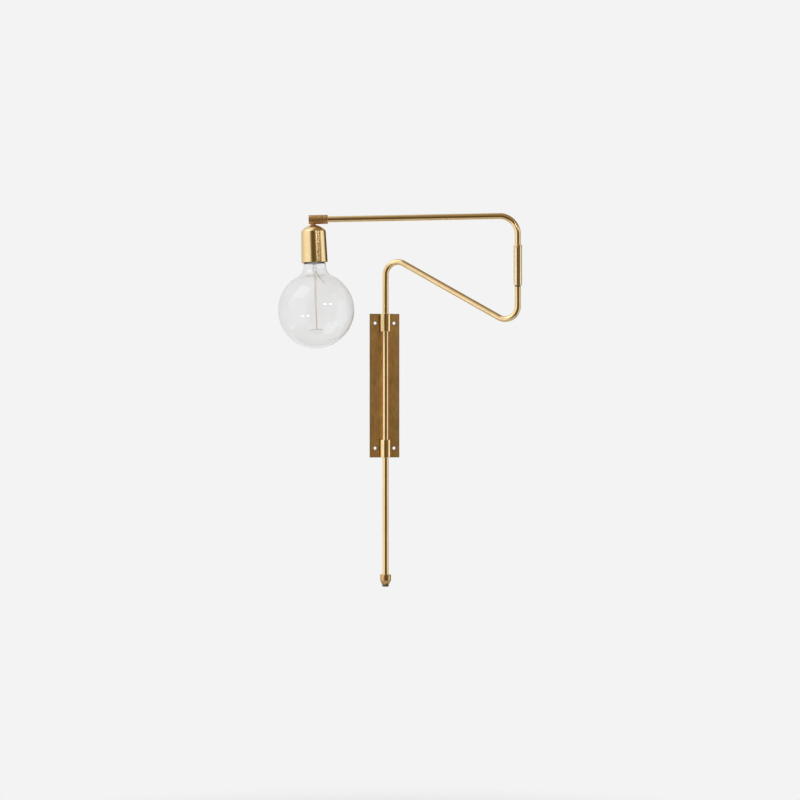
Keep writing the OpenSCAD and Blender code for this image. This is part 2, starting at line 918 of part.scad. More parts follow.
module lampholder_shell() {
    edge = 0.6;
    r = holder_d / 2;
    color(black_nylon)
        on_head()
            translate([0, 0, holder_bottom_z])
                rotate_extrude()
                    polygon([
                        [holder_bore / 2, 0], [r - edge, 0], [r, edge],
                        [r, holder_h - 2 * edge], [r - 2 * edge, holder_h],
                        [neck_d / 2 + seat_gap, holder_h], [neck_d / 2 + seat_gap, holder_h - holder_lid],
                        [holder_bore / 2, holder_h - holder_lid]
                    ]);
}

module terminal_block() {
    color(ceramic)
        on_head()
            difference() {
                translate([0, 0, block_bottom_z])
                    cylinder(d = holder_bore - 2 * seat_gap, h = block_t);
                translate([0, 0, block_bottom_z - cut])
                    cylinder(d = neck_bore, h = block_t + 2 * cut);
                for (side = [-1, 1])
                    translate([side * terminal_x, 0, block_bottom_z - cut])
                        cylinder(d = terminal_d + 2 * seat_gap, h = block_t + 2 * cut, $fn = small_fn);
            }
}

module terminal_screws() {
    head_d = terminal_d * 1.6;
    head_t = 1.4;
    color(steel)
        on_head()
            for (side = [-1, 1])
                translate([side * terminal_x, 0, block_bottom_z]) {
                    cylinder(d = terminal_d, h = block_t, $fn = small_fn);
                    translate([0, 0, block_t])
                        cylinder(d = head_d, h = head_t, $fn = small_fn);
                }
}

module screw_shell() {
    color(brushed_brass)
        on_head()
            translate([0, 0, screw_shell_z])
                ring(screw_shell_bore + 2 * shell_thickness, screw_shell_bore,
                     block_bottom_z - screw_shell_z);
}

// A sprung tongue under the block that bends down to the lamp's contact
module centre_contact() {
    width = 5;
    leg_x = terminal_x - 2;        // outer face of the leg that meets the block
    leg_t = 2 * strip_t;
    tip_half = 3;                  // half length of the tip over the lamp's contact
    tip_z = contact_top_z + free_gap;
    leg_l = min(leg_t, (block_bottom_z - tip_z) / 4);
    color(brushed_brass)
        on_head()
            translate([0, width / 2, 0])
                rotate([90, 0, 0])
                    linear_extrude(width)
                        polygon([
                            [leg_x, block_bottom_z], [leg_x, block_bottom_z - strip_t],
                            [tip_half, tip_z], [-tip_half, tip_z],
                            [-tip_half, tip_z + strip_t], [tip_half - strip_t / 2, tip_z + strip_t],
                            [leg_x - leg_t, block_bottom_z - strip_t - leg_l],
                            [leg_x - leg_t, block_bottom_z]
                        ]);
}

// A strip from the second terminal to the screw shell
module side_contact() {
    width = 4;
    outer_x = sqrt(pow(screw_shell_bore / 2 - face_gap, 2) - pow(width / 2, 2));
    color(brushed_brass)
        on_head()
            translate([-outer_x, -width / 2, block_bottom_z - strip_t])
                cube([outer_x - terminal_x + terminal_d / 2, width, strip_t]);
}

// Globe lamp

module bulb_cap() {
    r = cap_d / 2;
    color(satin_brass)
        on_head()
            translate([0, 0, cap_bottom_z])
                rotate_extrude()
                    polygon([
                        [r - shell_thickness, 0], [r, 0],
                        [r, cap_l - cap_shoulder_h], [r - cap_shoulder_w, cap_l],
                        [r - cap_shoulder_w - shell_thickness, cap_l - shell_thickness],
                        [r - shell_thickness, cap_l - cap_shoulder_h - shell_thickness]
                    ]);
}

module bulb_cap_insulator() {
    color(black_nylon)
        on_head()
            translate([0, 0, cap_top_z])
                cylinder(r1 = cap_d / 2 - cap_shoulder_w, r2 = cap_insulator_r, h = cap_insulator_h);
}

module bulb_contact() {
    color(steel)
        on_head()
            translate([0, 0, cap_top_z + cap_insulator_h])
                cylinder(r1 = contact_r, r2 = contact_tip_r, h = contact_h);
}

// Half outline of the glass, or of the space in it when inset is the wall
module glass_outline(inset) {
    body_r = globe_r - inset;
    neck_r = glass_neck_r - inset;
    flare_r = glass_flare_r + inset;
    flare_x = neck_r + flare_r;
    flare_z = globe_z + sqrt(pow(body_r + flare_r, 2) - pow(flare_x, 2));
    meet = body_r / (body_r + flare_r);
    meet_x = flare_x * meet;
    meet_z = globe_z + (flare_z - globe_z) * meet;
    shoulder_r = glass_shoulder_r - inset;
    shoulder_z = glass_top_z - glass_shoulder_r;
    mouth_r = glass_mouth_r - inset;
    mouth_z = glass_mouth_z + (inset > 0 ? cut : 0);
    union() {
        intersection() {
            translate([0, globe_z])
                circle(r = body_r);
            translate([0, globe_z - body_r])
                square([body_r, body_r + meet_z - globe_z]);
        }
        difference() {
            polygon([[0, meet_z], [meet_x, meet_z], [flare_x, flare_z], [0, flare_z]]);
            translate([flare_x, flare_z])
                circle(r = flare_r);
        }
        translate([0, flare_z])
            square([neck_r, shoulder_z - flare_z]);
        translate([0, flare_z])
            square([neck_r - shoulder_r, shoulder_z + shoulder_r - flare_z]);
        translate([neck_r - shoulder_r, shoulder_z])
            circle(r = shoulder_r);
        translate([0, shoulder_z])
            square([mouth_r, mouth_z - shoulder_z]);
    }
}

module bulb_glass() {
    color(clear_glass)
        on_head()
            rotate_extrude()
                difference() {
                    glass_outline(0);
                    glass_outline(glass_wall);
                }
}

// The lamp's inner glass: a flared foot, a thin tube and a flat pinch that holds the wires
module bulb_stem() {
    foot_wall = 1;
    top = stem_foot_z - pinch_z - pinch_h;
    color(clear_glass)
        on_head() {
            translate([0, 0, pinch_z + pinch_h])
                rotate_extrude()
                    polygon([
                        [0, 0], [stem_r, 0], [stem_r, top - stem_foot_h],
                        [stem_foot_r, top], [stem_foot_r - foot_wall, top],
                        [0, top - stem_foot_h]
                    ]);
            translate([-pinch_w / 2, -pinch_t / 2, pinch_z])
                cube([pinch_w, pinch_t, pinch_h]);
        }
}

// Two short leads to the filament and a longer getter wire beside it
module bulb_leads() {
    color(steel)
        on_head() {
            for (side = [-1, 1])
                wire([side * lead_x, 0, lead_top_z], [side * strand_top_x, 0, filament_top_z], lead_d);
            wire([getter_top.x, getter_top.y, lead_top_z],
                 [getter_foot.x, getter_foot.y, pinch_z - getter_drop], lead_d);
        }
}

module bulb_filament() {
    color(filament_cream)
        on_head() {
            for (side = [-1, 1])
                wire([side * strand_top_x, 0, filament_top_z],
                     [side * strand_bottom_x, 0, filament_bottom_z], filament_d);
        }
}

// A centre wire with a shallow hook across its foot
module bulb_anchor() {
    foot_z = filament_bottom_z - lead_d - free_gap;
    color(steel)
        on_head() {
            wire([0, 0, pinch_z - face_gap], [0, 0, foot_z], lead_d);
            translate([0, 0, foot_z])
                sphere(d = 1.5 * lead_d, $fn = small_fn);
            for (side = [-1, 1])
                wire([0, 0, foot_z], [side * anchor_half, 0, foot_z - anchor_fall], lead_d);
        }
}

wall_plate();
upper_collar();
lower_collar();
collar_screws();
drag_screws();
upper_bush();
lower_bush();
lower_arm_tube();
gland_body();
gland_grip();
gland_screw();
hinge_spindle();
hinge_washer();
hinge_sleeve();
upper_arm_tube();
arm_fixing_screw();
elbow_stop_screw();
swivel_ring();
swivel_spindle();
swivel_washer();
swivel_barrel();
tilt_stop_screw();
head_nipple();
neck_cap();
nipple_nut();
holder_cup();
lampholder_shell();
terminal_block();
terminal_screws();
screw_shell();
centre_contact();
side_contact();
bulb_cap();
bulb_cap_insulator();
bulb_contact();
bulb_glass();
bulb_stem();
bulb_leads();
bulb_filament();
bulb_anchor();
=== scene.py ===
"""Swing arm wall lamp, dressed for its picture.

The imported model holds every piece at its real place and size. This script lays smooth, finely cut surfaces
over the pieces that show, drawn from the same sizes, gives each one its brass, steel, nylon, rubber, ceramic
or glass, and sets up a pale studio round the lamp. Lengths in the classes are millimetres in the lamp's own
frame: +Z up, +Y into the wall, -Y to the room.
"""

import logging
import math
from collections.abc import Callable
from dataclasses import dataclass, field
from enum import Enum

import bmesh
import bpy
import numpy as np
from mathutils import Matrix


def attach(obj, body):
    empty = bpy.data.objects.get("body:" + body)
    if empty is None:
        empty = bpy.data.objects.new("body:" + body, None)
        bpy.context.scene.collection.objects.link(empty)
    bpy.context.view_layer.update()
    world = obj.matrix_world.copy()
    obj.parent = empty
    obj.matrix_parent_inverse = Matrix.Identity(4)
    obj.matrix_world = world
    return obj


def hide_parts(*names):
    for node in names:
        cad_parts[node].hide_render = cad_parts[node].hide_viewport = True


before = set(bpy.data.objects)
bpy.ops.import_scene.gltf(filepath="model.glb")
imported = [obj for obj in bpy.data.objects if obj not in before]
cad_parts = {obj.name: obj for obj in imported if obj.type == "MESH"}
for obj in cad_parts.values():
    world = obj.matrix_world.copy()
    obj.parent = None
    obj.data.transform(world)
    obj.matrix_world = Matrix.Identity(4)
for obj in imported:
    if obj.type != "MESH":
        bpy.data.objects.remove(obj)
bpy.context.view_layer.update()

MM = 0.001
# How far a bore stays clear of the tube or the neck in it, in millimetres
SNUG = 0.02
# Points closer than this become one, in metres
WELD_GAP = 1e-7
# The edge over which a sunk hole's depth falls away, in millimetres
PIT_EDGE = 0.12
# How far a row's radius may lie from the outer surface, or from a thread's crest, to be worked on
SKIN = 0.05
ROLLED_BAND = 0.6
# Points round a piece, from the thin tubes up to the cup and the globe
TUBE_COLUMNS = 64
FEW_COLUMNS = 96
COLUMNS = 128
MANY_COLUMNS = 160
MOST_COLUMNS = 192
SHARP_EDGE = math.radians(32)
UV_NAME = "surface"

log = logging.getLogger("wall_lamp")

Relief = Callable[[np.ndarray, np.ndarray], np.ndarray]


def display(red: float, green: float, blue: float) -> tuple[float, float, float, float]:
    """Turns a colour as a screen shows it into the linear colour that a shader takes.

    Each channel is divided by 255 and follows the screen's own curve: a short straight toe, then a power
    of 2.4.

    Args:
        red: Red from 0 to 255.
        green: Green from 0 to 255.
        blue: Blue from 0 to 255.

    Returns:
        Red, green, blue and a full alpha, from 0 to 1.
    """
    shown = np.array([red, green, blue]) / 255.0
    linear = np.where(shown <= 0.04045, shown / 12.92, ((shown + 0.055) / 1.055) ** 2.4)
    return (float(linear[0]), float(linear[1]), float(linear[2]), 1.0)


def turn_matrix(axis: str, degrees: float) -> np.ndarray:
    """Gives the matrix that turns a column vector about one axis.

    Args:
        axis: The axis, "x", "y" or "z".
        degrees: The turn, right-handed.

    Returns:
        A 3 by 3 matrix.
    """
    cosine = math.cos(math.radians(degrees))
    sine = math.sin(math.radians(degrees))
    turns = {
        "x": [[1, 0, 0], [0, cosine, -sine], [0, sine, cosine]],
        "y": [[cosine, 0, sine], [0, 1, 0], [-sine, 0, cosine]],
        "z": [[cosine, -sine, 0], [sine, cosine, 0], [0, 0, 1]],
    }
    return np.array(turns[axis], float)


@dataclass(frozen=True)
class Bench:
    """A sub-assembly's own frame, in which its pieces are drawn."""

    origin: np.ndarray = field(default_factory=lambda: np.zeros(3))
    axes: np.ndarray = field(default_factory=lambda: np.eye(3))

    def place(self, points: np.ndarray) -> np.ndarray:
        """Carries points into the lamp's frame: the origin plus each coordinate times its axis."""
        return self.origin + points @ self.axes

    def moved(self, x: float = 0.0, y: float = 0.0, z: float = 0.0) -> "Bench":
        """Gives this frame carried along its own axes."""
        return Bench(self.place(np.array([x, y, z])), self.axes)

    def turned(self, axis: str, degrees: float) -> "Bench":
        """Gives this frame turned right-handed about its own "x", "y" or "z" axis."""
        return Bench(self.origin, turn_matrix(axis, degrees).T @ self.axes)


@dataclass(frozen=True)
class Stance:
    """How the lamp stands in the picture: where each sub-assembly's frame lies at rest."""

    stem_y: float = -11.6
    swing_angle: float = 29.5
    lower_reach: float = 230.0
    elbow_fold: float = 19.5
    upper_arm_z: float = 277.5
    arm_droop: float = 1.1
    upper_reach: float = 335.0
    head_lean: float = 0.9

    def wall(self) -> Bench:
        """Gives the frame on the stem's axis, square to the wall."""
        return Bench().moved(y=self.stem_y)

    def lower_arm(self) -> Bench:
        """Gives the frame on the stem's axis, with +X out along the lower arm."""
        return self.wall().turned("z", -self.swing_angle)

    def elbow(self) -> Bench:
        """Gives the frame on the elbow's axis, with +X out along the upper arm."""
        return self.lower_arm().moved(x=self.lower_reach).turned("z", 180 + self.elbow_fold)

    def upper_arm(self) -> Bench:
        """Gives the frame where the long arm's axis meets the elbow's axis, leaning with the arm."""
        return self.elbow().moved(z=self.upper_arm_z).turned("y", self.arm_droop)

    def along_arm(self) -> Bench:
        """Gives the upper arm's frame turned so that +Z runs out along the arm."""
        return self.upper_arm().turned("y", 90)

    def head(self) -> Bench:
        """Gives the frame on the lamp's hanging axis, which leans a little against the long arm."""
        return self.upper_arm().moved(x=self.upper_reach).turned("y", self.head_lean)


def rounded(points: list[tuple[float, float]], radii: dict[int, float], steps: int = 5) -> np.ndarray:
    """Rounds chosen corners of an outline.

    A corner with radius r is replaced by the arc that touches both of its sides. The arc is drawn as a
    quadratic curve: (1-t)^2 of the first touching point, 2t(1-t) of the corner and t^2 of the second.

    Args:
        points: The outline's corners in order, not closed.
        radii: The reach of the rounding for each corner's number.
        steps: Points along each rounding, less one.

    Returns:
        The rounded outline, one point a row.
    """
    corners = np.array(points, float)
    pieces = []
    for number, corner in enumerate(corners):
        reach = radii.get(number, 0.0)
        if reach <= 0.0 or number in (0, len(corners) - 1):
            pieces.append(corner[None, :])
            continue
        back = corners[number - 1] - corner
        ahead = corners[number + 1] - corner
        start = corner + back / np.linalg.norm(back) * reach
        end = corner + ahead / np.linalg.norm(ahead) * reach
        t = np.linspace(0, 1, steps + 1)[:, None]
        pieces.append((1 - t) ** 2 * start + 2 * t * (1 - t) * corner + t**2 * end)
    return np.concatenate(pieces)


def loop(points: list[tuple[float, float]], radii: dict[int, float]) -> np.ndarray:
    """Rounds chosen corners of an outline that closes on its first point, which is never rounded."""
    return rounded([*points, points[0]], radii)[:-1]


def hoop(bore: float, outer: float, foot: float, top: float, low_edge: float, top_edge: float) -> np.ndarray:
    """Draws the outline of a plain ring, with the reach of the rounding at its two outer edges."""
    return loop([(bore, foot), (outer, foot), (outer, top), (bore, top)], {1: low_edge, 2: top_edge})


def filled_in(outline: np.ndarray, spacing: float) -> np.ndarray:
    """Adds points along an outline's long sides.

    Each side is cut into equal shares no longer than the spacing.

    Args:
        outline: The outline, one point a row.
        spacing: The longest share that is left.

    Returns:
        The outline with its new points.
    """
    lengths = np.linalg.norm(np.diff(outline, axis=0), axis=1)
    shares = np.maximum(1, np.ceil(lengths / spacing)).astype(int)
    starts = np.repeat(np.arange(len(shares)), shares)
    within = np.concatenate([np.arange(n) / n for n in shares])
    points = outline[starts] + (outline[starts + 1] - outline[starts]) * within[:, None]
    return np.concatenate([points, outline[-1:]])


def arc(centre: tuple[float, float], radius: float, start: float, end: float, steps: int) -> np.ndarray:
    """Draws an arc: the centre plus the radius times the cosine and sine of each angle.

    Args:
        centre: The centre.
        radius: The radius.
        start: The first angle in degrees.
        end: The last angle in degrees.
        steps: Points along the arc, less one.

    Returns:
        The arc's points, one a row.
    """
    angles = np.radians(np.linspace(start, end, steps + 1))
    return np.column_stack([centre[0] + radius * np.cos(angles), centre[1] + radius * np.sin(angles)])


def even_angles(columns: int) -> np.ndarray:
    """Gives evenly spaced angles for one full turn, in radians."""
    return np.linspace(0, 2 * np.pi, columns, endpoint=False)


def grid_faces(rows: int, columns: int, closed_rows: bool) -> tuple[np.ndarray, np.ndarray]:
    """Numbers the four corners of every face of a grid whose columns close on themselves.

    Args:
        rows: Points down the grid.
        columns: Points round the grid.
        closed_rows: Whether the last row joins the first.

    Returns:
        The faces' corners as point numbers, and each corner's row and column counted past the seam.
    """
    row_steps = rows if closed_rows else rows - 1
    row, column = np.meshgrid(np.arange(row_steps), np.arange(columns), indexing="ij")
    corner_rows = np.stack([row, row + 1, row + 1, row], axis=-1).reshape(-1, 4)
    corner_columns = np.stack([column, column, column + 1, column + 1], axis=-1).reshape(-1, 4)
    faces = (corner_rows % rows) * columns + corner_columns % columns
    return faces, np.stack([corner_rows, corner_columns], axis=-1)


def linked(name: str, data: bpy.types.ID) -> bpy.types.Object:
    """Makes an object and puts it in the scene.

    Args:
        name: The object's name.
        data: Its mesh, lamp or camera.

    Returns:
        The new object, at the origin.
    """
    made = bpy.data.objects.new(name, data)
    bpy.context.scene.collection.objects.link(made)
    return made


def mesh_from_grid(name: str, grid: np.ndarray, along: np.ndarray, closed_rows: bool) -> bpy.types.Object:
    """Makes a smooth object from a grid of points in millimetres, closing its poles.

    The UV map holds real lengths in metres: u down the grid, and v round it along its longest row.

    Args:
        name: The object's name.
        grid: Points by row, column and coordinate; its columns close on themselves.
        along: How far down the surface each row lies, one more than the rows where these close.
        closed_rows: Whether the last row joins the first.

    Returns:
        The new object, at the origin.
    """
    rows, columns = grid.shape[:2]
    faces, corners = grid_faces(rows, columns, closed_rows)
    mesh = bpy.data.meshes.new(name)
    mesh.from_pydata((grid.reshape(-1, 3) * MM).tolist(), [], faces.tolist())
    rings = np.linalg.norm(np.roll(grid, -1, axis=1) - grid, axis=2)
    around = np.concatenate([[0.0], np.cumsum(rings[rings.sum(axis=1).argmax()])])
    uv = np.stack([along[corners[..., 0]], around[corners[..., 1]]], axis=-1) * MM
    layer = mesh.uv_layers.new(name=UV_NAME)
    layer.data.foreach_set("uv", uv.reshape(-1))
    shell = bmesh.new()
    shell.from_mesh(mesh)
    bmesh.ops.remove_doubles(shell, verts=shell.verts, dist=WELD_GAP)
    bmesh.ops.dissolve_degenerate(shell, edges=shell.edges, dist=WELD_GAP)
    bmesh.ops.recalc_face_normals(shell, faces=shell.faces)
    shell.to_mesh(mesh)
    shell.free()
    mesh.shade_smooth()
    mesh.set_sharp_from_angle(angle=SHARP_EDGE)
    return linked(name, mesh)


def turned_grid(outline: np.ndarray, angles: np.ndarray, relief: Relief | None) -> np.ndarray:
    """Turns an outline about +Z: x is r times cos a, y is r times sin a, and z stays.

    Args:
        outline: Radius and height, one point a row.
        angles: The angles of the columns, in radians.
        relief: What is added to the radius at a height and an angle, or None.

    Returns:
        A grid of points.
    """
    radius = np.repeat(outline[:, :1], len(angles), axis=1)
    height = np.repeat(outline[:, 1:], len(angles), axis=1)
    if relief is not None:
        radius = radius + relief(outline, angles)
    return np.stack([radius * np.cos(angles), radius * np.sin(angles), height], axis=-1)


def down_lengths(outline: np.ndarray, closed: bool) -> np.ndarray:
    """Adds up how far down an outline each of its points lies.

    Args:
        outline: The outline, one point a row.
        closed: Whether it runs on to its first point.

    Returns:
        The running lengths.
    """
    path = np.concatenate([outline, outline[:1]]) if closed else outline
    return np.concatenate([[0.0], np.cumsum(np.linalg.norm(np.diff(path, axis=0), axis=1))])


def turned_piece(
    name: str,
    outline: np.ndarray,
    bench: Bench,
    closed: bool = True,
    columns: int = COLUMNS,
    relief: Relief | None = None,
) -> bpy.types.Object:
    """Makes a piece that was turned on a lathe about its frame's +Z.

    Args:
        name: The object's name.
        outline: Radius and height, one point a row.
        bench: The frame that it is drawn in.
        closed: Whether the outline closes on itself, or ends on the axis at both ends.
        columns: How many even columns go round it.
        relief: What is added to the radius at a height and an angle, or None.

    Returns:
        The new object.
    """
    grid = bench.place(turned_grid(outline, even_angles(columns), relief))
    return mesh_from_grid(name, grid, down_lengths(outline, closed), closed)


def swept_piece(
    name: str, path: np.ndarray, side: np.ndarray, outer: float, inner: float, bench: Bench, columns: int
) -> bpy.types.Object:
    """Makes a round tube or wire along a path that lies in one plane.

    Each ring is the path's point plus the radius times the sum of cos a of the path's own normal and sin a of
    the plane's normal. A tube's rings run out at the outer radius and back at the inner one, so that the wall
    is closed. A wire's ends close on the path's own ends.

    Args:
        name: The object's name.
        path: The middle line, one point a row.
        side: The unit normal of the path's plane.
        outer: The outer radius.
        inner: The inner radius, or 0 for a solid wire.
        bench: The frame that it is drawn in.
        columns: Points round each ring.

    Returns:
        The new object.
    """
    tangent = np.gradient(path, axis=0)
    tangent /= np.linalg.norm(tangent, axis=1)[:, None]
    normal = np.cross(np.broadcast_to(side, tangent.shape), tangent)
    angles = even_angles(columns)
    ring = np.cos(angles)[None, :, None] * normal[:, None, :] + np.sin(angles)[None, :, None] * side
    out = path[:, None, :] + outer * ring
    lengths = down_lengths(path, False)
    if inner > 0:
        grid = np.concatenate([out, (path[:, None, :] + inner * ring)[::-1]])
        along = np.concatenate([lengths, lengths[::-1], [0.0]])
        return mesh_from_grid(name, bench.place(grid), along, True)
    ends = np.repeat(path[[0, -1]][:, None, :], columns, axis=1)
    grid = np.concatenate([ends[:1], out, ends[1:]])
    along = np.concatenate([[0.0], lengths, lengths[-1:]])
    return mesh_from_grid(name, bench.place(grid), along, False)


def pit(height: float, angle: float, radius: float, depth: float, surface_r: float) -> Relief:
    """Describes a round hole sunk into a turned surface.

    The depth falls away over a narrow edge, by the distance on the surface from the hole's middle: the square
    root of the height step squared plus the arc squared. Only the outer surface is sunk.

    Args:
        height: The hole's height on the outline.
        angle: The hole's angle in degrees.
        radius: The hole's radius.
        depth: How deep it goes.
        surface_r: The outer surface's radius.

    Returns:
        A relief for turned_piece.
    """
    middle = math.radians(angle)

    def relief(outline: np.ndarray, angles: np.ndarray) -> np.ndarray:
        """Gives what the hole takes from the radius.

        Args:
            outline: Radius and height, one point a row.
            angles: The angles of the columns, in radians.

        Returns:
            A step of the radius for each row and column.
        """
        turn = (angles - middle + np.pi) % (2 * np.pi) - np.pi
        reach = np.hypot(outline[:, 1:] - height, turn[None, :] * surface_r)
        share = np.clip((radius + PIT_EDGE / 2 - reach) / PIT_EDGE, 0, 1)
        return -depth * share * (outline[:, :1] > surface_r - SKIN)

    return relief


def together(*reliefs: Relief) -> Relief:
    """Joins reliefs into one that is their sum.

    Args:
        *reliefs: The reliefs.

    Returns:
        Their sum.
    """

    def relief(outline: np.ndarray, angles: np.ndarray) -> np.ndarray:
        """Gives the sum of what each relief adds."""
        return sum(each(outline, angles) for each in reliefs)

    return relief


def thread(depth: float, pitch: float, low: float, high: float, crest_r: float) -> Relief:
    """Describes a rolled screw thread: a cosine wave that climbs one pitch a turn and fades out at both ends.

    Args:
        depth: Depth from crest to root.
        pitch: Climb in one turn.
        low: The height where it starts.
        high: The height where it stops.
        crest_r: The radius of the wall that is rolled, which marks the rows that take part.

    Returns:
        A relief for turned_piece.
    """

    def relief(outline: np.ndarray, angles: np.ndarray) -> np.ndarray:
        """Gives what the thread takes from the radius.

        Args:
            outline: Radius and height, one point a row.
            angles: The angles of the columns, in radians.

        Returns:
            A step of the radius for each row and column.
        """
        height = outline[:, 1:]
        wave = 0.5 - 0.5 * np.cos(2 * np.pi * height / pitch - angles[None, :])
        fade = np.clip((height - low) / pitch, 0, 1) * np.clip((high - height) / pitch, 0, 1)
        return -depth * wave * fade * (np.abs(outline[:, :1] - crest_r) < ROLLED_BAND)

    return relief


class Nodes:
    """Builds the nodes of a material or of the studio's surround, with a short call for each kind in use."""

    def __init__(self, owner: bpy.types.Material | bpy.types.World, output: str) -> None:
        """Empties the nodes and adds their output.

        Args:
            owner: The new material or surround.
            output: The kind of its output node.
        """
        self.owner = owner
        owner.use_nodes = True
        owner.node_tree.nodes.clear()
        self.output = owner.node_tree.nodes.new(output)

    @classmethod
    def of_material(cls, name: str) -> "Nodes":
        """Starts an empty material of this name."""
        return cls(bpy.data.materials.new(name), "ShaderNodeOutputMaterial")

    def feed(self, socket: bpy.types.NodeSocket, value: object) -> None:
        """Links a socket to another, or sets its own value.

        Args:
            socket: The input socket.
            value: An output socket, a number or a colour.
        """
        if isinstance(value, bpy.types.NodeSocket):
            self.owner.node_tree.links.new(value, socket)
        else:
            socket.default_value = value

    def add(self, kind: str, *in_order: object, **by_name: object) -> bpy.types.Node:
        """Adds a node and feeds its inputs.

        Args:
            kind: The kind of node.
            *in_order: Values or sockets for its first inputs.
            **by_name: Values or sockets for named inputs, with spaces as underscores.

        Returns:
            The node.
        """
        node = self.owner.node_tree.nodes.new(kind)
        for socket, value in zip(node.inputs, in_order):
            self.feed(socket, value)
        for name, value in by_name.items():
            self.feed(node.inputs[name.replace("_", " ")], value)
        return node

    def place(self, stretch: tuple[float, float, float] = (1, 1, 1)) -> bpy.types.NodeSocket:
        """Gives the Object coordinates, each multiplied by its stretch."""
        source = self.add("ShaderNodeTexCoord").outputs["Object"]
        return self.add("ShaderNodeMapping", Vector=source, Scale=stretch).outputs["Vector"]

    def surface(self, stretch: tuple[float, float, float]) -> bpy.types.NodeSocket:
        """Gives the piece's own UV map, in metres, stretched down and round the surface.

        Args:
            stretch: What each direction is multiplied by.

        Returns:
            A vector socket.
        """
        source = self.add("ShaderNodeUVMap")
        source.uv_map = UV_NAME
        return self.add("ShaderNodeMapping", Vector=source.outputs["UV"], Scale=stretch).outputs["Vector"]

    def noise(
        self,
        vector: bpy.types.NodeSocket,
        size_mm: float,
        detail: float = 3,
        rough: float = 0.5,
        warp: float = 0.0,
    ) -> bpy.types.NodeSocket:
        """Gives a cloudy pattern from 0 to 1.

        Args:
            vector: The coordinates, in metres.
            size_mm: The size of its patches.
            detail: How many finer layers it has.
            rough: How strong those are.
            warp: How much it is pulled out of shape.

        Returns:
            A value socket.
        """
        scale = 1 / (size_mm * MM)
        return self.add(
            "ShaderNodeTexNoise", Vector=vector, Scale=scale, Detail=detail, Roughness=rough, Distortion=warp
        ).outputs[0]

    def specks(self, vector: bpy.types.NodeSocket, size_mm: float) -> bpy.types.NodeSocket:
        """Gives the distance to points scattered about a size apart, 0 on a point."""
        return self.add("ShaderNodeTexVoronoi", Vector=vector, Scale=1 / (size_mm * MM)).outputs["Distance"]

    def ramp(
        self, value: bpy.types.NodeSocket, low: float, high: float, start: float = 0.0, end: float = 1.0
    ) -> bpy.types.NodeSocket:
        """Carries a value smoothly from one range to another.

        Args:
            value: The value.
            low: Where it starts to rise.
            high: Where it stops.
            start: What it gives below that.
            end: What it gives above that.

        Returns:
            A value socket.
        """
        node = self.add(
            "ShaderNodeMapRange", Value=value, From_Min=low, From_Max=high, To_Min=start, To_Max=end
        )
        node.interpolation_type = "SMOOTHSTEP"
        return node.outputs["Result"]

    def maths(self, operation: str, *values: object) -> bpy.types.NodeSocket:
        """Gives the result of one sum.

        Args:
            operation: The name of the sum, such as "MULTIPLY".
            *values: As many values or sockets as the sum takes.

        Returns:
            A value socket.
        """
        node = self.add("ShaderNodeMath", *values)
        node.operation = operation
        return node.outputs[0]

    def blend(self, share: object, first: object, second: object) -> bpy.types.NodeSocket:
        """Gives one colour laid over another.

        Args:
            share: How much of the second shows.
            first: A colour or a socket.
            second: A colour or a socket.

        Returns:
            A colour socket.
        """
        node = self.add("ShaderNodeMix", share)
        node.data_type = "RGBA"
        self.feed(node.inputs[6], first)
        self.feed(node.inputs[7], second)
        return node.outputs[2]

    def bump(
        self, height: bpy.types.NodeSocket, depth_mm: float, under: object = None
    ) -> bpy.types.NodeSocket:
        """Gives a normal that is bent by a height.

        Args:
            height: The height from 0 to 1.
            depth_mm: What a height of 1 is worth.
            under: A normal that this one is laid over, or None.

        Returns:
            A normal socket.
        """
        node = self.add("ShaderNodeBump", Strength=1.0, Distance=depth_mm * MM, Height=height)
        if under is not None:
            self.feed(node.inputs["Normal"], under)
        return node.outputs["Normal"]

    def finished(self, **sockets: object) -> bpy.types.Material:
        """Adds the shader with its inputs, by name with spaces as underscores, and gives the material."""
        self.feed(self.output.inputs["Surface"], self.add("ShaderNodeBsdfPrincipled", **sockets).outputs[0])
        return self.owner


class Brushing(Enum):
    """Which way a metal's fine scratches run over its surface, and how their pattern is stretched."""

    AROUND = (220.0, 7.0, 1.0)
    NONE = (60.0, 60.0, 60.0)


# The one dark tone for the plate's darker edges, its painted shade round the holes and its painted shadow
# round the collars
SHADE_AND_EDGE_TONE = (92, 68, 38)
# The sizes and strengths of a finish's other patterns, as multiples of the ones that it states
DRIFT_SIZE = 3.1
FINE_SIZE = 0.12
FINE_TARNISH = 0.35
CLOUD_DEPTH = 4
PIT_SPREAD = 3
MOULDING_CLOUD_SIZE = 24
# What all metals share
SCRATCH_SIZE_MM = 30.0
PIT_DARKNESS = 0.75
PIT_DEPTH_MM = 0.03


